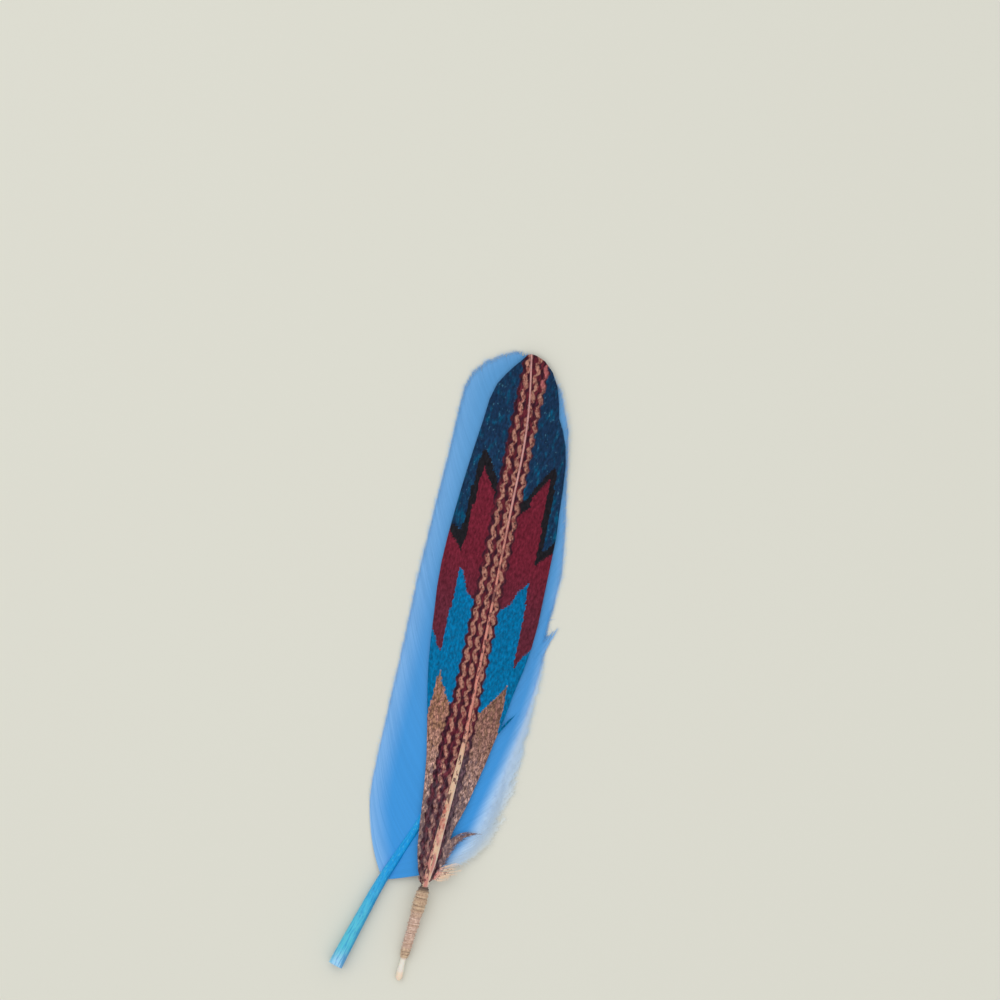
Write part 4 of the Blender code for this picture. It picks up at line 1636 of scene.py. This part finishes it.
@dataclass(frozen=True)
class FrontFeather:
    """The printed feather on top, trimmed to a blade, with a loose lock and a pale tuft.

    An outline has (tip x, tip y, y of the root) of some barbs. The lock, the tuft and the
    stray barb have (root x, root y, bend x, bend y, tip x, tip y) of their guides.
    """

    effects: Effects
    left: Table = (
        (-1.6, -56.2, -57.4), (-3.0, -52.2, -57.0), (-3.9, -47.9, -56.4), (-4.5, -42.0, -54.0),
        (-5.0, -36.5, -51.0),
        (-5.6, -30.5, -46.5), (-6.4, -24.5, -41.5), (-7.5, -18.5, -36.5), (-8.7, -12.5, -31.5),
        (-9.9, -6.5, -27.0), (-10.9, -0.5, -22.0), (-11.6, 6.0, -16.5), (-12.1, 12.5, -10.5),
        (-12.7, 19.0, -4.5), (-12.9, 25.5, 1.5), (-12.7, 32.0, 8.0), (-12.3, 38.5, 14.5),
        (-11.8, 45.0, 21.5), (-11.2, 51.5, 29.0), (-10.5, 58.0, 36.5), (-9.8, 64.0, 44.0),
        (-9.3, 69.5, 51.5), (-8.2, 73.8, 58.0), (-6.4, 76.8, 64.0), (-4.6, 79.3, 69.5),
        (-3.0, 81.3, 74.5), (-1.9, 82.8, 79.0), (-1.1, 83.1, 81.8),
    )
    right: Table = (
        (1.9, -55.0, -56.8), (2.7, -52.2, -55.8), (3.2, -49.4, -54.2), (3.7, -46.2, -52.6),
        (4.2, -42.8, -51.0), (5.1, -38.9, -49.0), (6.7, -34.0, -46.0), (7.8, -29.0, -42.5),
        (9.0, -23.5, -38.5), (9.9, -18.5, -34.5), (10.9, -13.4, -31.0),
        (11.4, -11.0, -29.0), (12.6, -3.5, -23.5), (13.8, 2.5, -18.5), (14.6, 8.5, -13.5),
        (15.0, 14.5, -8.0), (15.0, 20.5, -2.5), (15.0, 26.5, 3.5), (15.0, 32.5, 9.5),
        (15.0, 38.0, 15.5), (14.5, 44.0, 22.0), (14.2, 50.0, 28.5), (13.6, 56.5, 35.5),
        (12.5, 61.5, 41.5), (10.9, 65.5, 47.0), (9.4, 68.2, 51.5), (8.6, 72.0, 57.0),
        (7.4, 76.0, 63.5), (5.4, 79.5, 70.0), (2.8, 82.0, 75.5), (0.6, 82.9, 79.5),
        (-0.2, 83.1, 81.0), (-0.9, 83.1, 81.8),
    )
    lock: Table = (
        (1.8, -54.4, 3.2, -50.8, 4.6, -50.2), (1.9, -53.6, 3.8, -48.4, 5.6, -47.2),
        (2.0, -52.6, 4.6, -45.4, 6.6, -45.0), (2.3, -51.3, 5.2, -43.0, 8.4, -43.2),
        (2.6, -49.4, 5.4, -42.0, 12.2, -41.3), (3.0, -46.8, 5.0, -41.9, 9.6, -41.9),
    )
    tuft: Table = (
        (1.7, -55.4, 3.2, -55.6, 5.0, -55.3), (1.8, -54.8, 4.0, -54.4, 6.4, -54.4),
        (2.0, -54.0, 4.8, -53.4, 8.2, -52.9), (2.2, -53.2, 5.2, -52.4, 9.0, -51.1),
        (2.3, -52.6, 4.6, -51.8, 7.6, -50.4),
    )
    stray: Table = (
        (9.6, -16.6, 12.0, -12.6, 14.1, -9.5), (10.2, -15.2, 12.1, -12.1, 13.6, -10.1),
    )

    pitch: float = 0.42
    closing: float = 0.012

    def build(self) -> None:
        """Makes the shaft, both vanes, the loose lock, the stray barb and the tuft."""
        node = ["front_feather"]
        shaft = [FRONT_SHAFT.strands()]
        quill = NaturalShaft(self.effects).material()
        add_piece("printed_shaft", shaft, quill, node, 50)
        printed = BlanketPrint(self.effects).material()
        for name, side, rows, seed in (
            ("printed_vane_left", Side.LEFT, self.left, 21),
            ("printed_vane_right", Side.RIGHT, self.right, 22),
        ):
            vane = Vane(
                FRONT_SHAFT, side, rows, Ending.TRIMMED, seed, pitch=self.pitch, closing=self.closing,
            )
            add_piece(name, [vane.strands()], printed, node)
        lock = Lock(self.lock, FRONT_BED, count=30, seed=23, scatter=0.17, shortest=0.86)
        hairs = Fuzz(
            seed=60, count=160, length=(0.3, 0.9), where=(0.2, 1.0), spread=0.6,
        ).strands(lock.paths(), lock.strands().marks)
        sets = [lock.strands(), hairs]
        add_piece("printed_loose_lock", sets, printed, node)
        stray = Lock(
            self.stray, FRONT_BED, count=6, seed=26, half_width=0.15, scatter=0.24,
            lift=(0.1, 0.3),
        )
        hairs = Fuzz(
            seed=63, count=60, length=(0.3, 0.7), where=(0.3, 1.0), spread=0.6,
        ).strands(stray.paths(), stray.strands().marks)
        add_piece("printed_stray_barb", [stray.strands(), hairs], printed, node)
        tuft = Lock(
            self.tuft, FRONT_BED, count=32, seed=24, half_width=0.1, thickness=0.05,
            scatter=0.55, shortest=0.68, lift=(0.0, 0.5),
        )
        hairs = Fuzz(
            seed=61, count=240, length=(0.3, 0.9), width=0.03, where=(0.3, 1.0), spread=0.9,
        ).strands(tuft.paths(), tuft.strands().marks)
        pale = PaleTuft(self.effects).material()
        add_piece("pale_tuft", [tuft.strands(), hairs], pale, node)


@dataclass(frozen=True)
class ThreadWrap:
    """The thread wound round the front feather's quill."""

    effects: Effects

    def build(self) -> None:
        """Makes the wound thread: close turns, and wider ones that cross them."""
        close = Winding(FRONT_SHAFT).strands()
        upper = Winding(
            FRONT_SHAFT, top=-58.3, bottom=-65.6, turns=7.4, thread_radius=0.24, seed=8,
            outside=((0, 1.45), (0.3, 1.72), (0.5, 1.74), (1, 1.6)), raised=0.14,
            steps_a_turn=40,
        ).strands()
        lower = Winding(
            FRONT_SHAFT, top=-66.5, bottom=-76.6, turns=9.6, thread_radius=0.17, seed=9,
            outside=((0, 1.55), (0.4, 1.33), (0.7, 1.33), (1, 1.16)), raised=0.12,
            steps_a_turn=40,
        ).strands()
        finish = TanThread(self.effects).material()
        sets = [close, upper, lower]
        add_piece("quill_thread", sets, finish, ["thread_wrap"], 70)


@dataclass(frozen=True)
class Studio:
    """A pale table, soft lights and a camera that looks straight down, as the photo does."""

    view_width: float = 0.26
    lean: float = math.radians(11.8)
    middle: Span = (-0.00131, 0.04436)
    distance: float = 1.5
    sensor: float = 36.0
    table_colours: tuple[Colour, Colour] = ((217, 217, 205), (217, 216, 204))
    """Two tones that drift into each other."""
    table_half: float = 2.0
    table_height: float = -0.0001
    lights: tuple[tuple[str, Triple, float], ...] = (
        ("key", (-0.34, 0.22, 0.85), 3.1), ("fill", (0.4, -0.3, 0.85), 1.7),
    )
    """Name, place in metres and power in watts."""
    light_side: float = 1.0
    sky_strength: float = 0.67

    def build(self) -> None:
        """Makes the table, the lights, the sky and the camera."""
        self.add_table()
        for name, place, power in self.lights:
            self.add_light(name, place, power)
        self.add_sky()
        self.add_camera()
        bpy.context.scene.view_settings.view_transform = "Standard"

    def add_table(self) -> None:
        """A wide flat table top just under z = 0."""
        half, z = self.table_half, self.table_height
        corners = [(-half, -half, z), (half, -half, z), (half, half, z), (-half, half, z)]
        mesh = bpy.data.meshes.new("table")
        mesh.from_pydata(corners, [], [(0, 1, 2, 3)])
        top = bpy.data.objects.new("table", mesh)
        bpy.context.scene.collection.objects.link(top)
        finish, draw, shader = new_material("pale_table")
        place, _, _ = millimetres(draw)
        cloud = draw.noise(place, (1.0, 1.0, 0.0), 0.02)
        colour = draw.mix(cloud, *self.table_colours)
        draw.tree.links.new(colour, shader.inputs["Base Color"])
        shader.inputs["Roughness"].default_value = 0.8
        mesh.materials.append(finish)

    def add_light(self, name: str, place: Triple, power: float) -> None:
        """A square soft light that looks at the middle of the feather.

        Args:
            name: Name of the light.
            place: Where it stands, in metres.
            power: Its power in watts.
        """
        lamp = bpy.data.lights.new(name, "AREA")
        lamp.size = self.light_side
        lamp.energy = power
        light = bpy.data.objects.new(name, lamp)
        bpy.context.scene.collection.objects.link(light)
        x, y, z = place
        light.location = place
        light.rotation_euler = (math.atan2(math.hypot(x, y), z), 0, math.atan2(x, -y))

    def add_sky(self) -> None:
        """An even pale sky."""
        world = bpy.data.worlds.new("sky")
        world.use_nodes = True
        background = world.node_tree.nodes["Background"]
        background.inputs["Color"].default_value = (1.0, 1.0, 1.0, 1.0)
        background.inputs["Strength"].default_value = self.sky_strength
        bpy.context.scene.world = world

    def add_camera(self) -> None:
        """A long lens straight above, turned so that the feather leans to the right."""
        data = bpy.data.cameras.new("camera")
        data.sensor_width = self.sensor
        data.lens = self.sensor * self.distance / self.view_width
        camera = bpy.data.objects.new("camera", data)
        bpy.context.scene.collection.objects.link(camera)
        camera.location = (*self.middle, self.distance)
        camera.rotation_euler = (0, 0, self.lean)
        bpy.context.scene.camera = camera


def main() -> None:
    """Builds the feathers, the thread and the studio."""
    logging.basicConfig(level=logging.INFO, format="%(message)s")
    effects = Effects(barb_grain_group(), fleck_group(), knit_group())
    BackFeather(effects).build()
    FrontFeather(effects).build()
    ThreadWrap(effects).build()
    Studio().build()


if __name__ == "__main__":
    main()
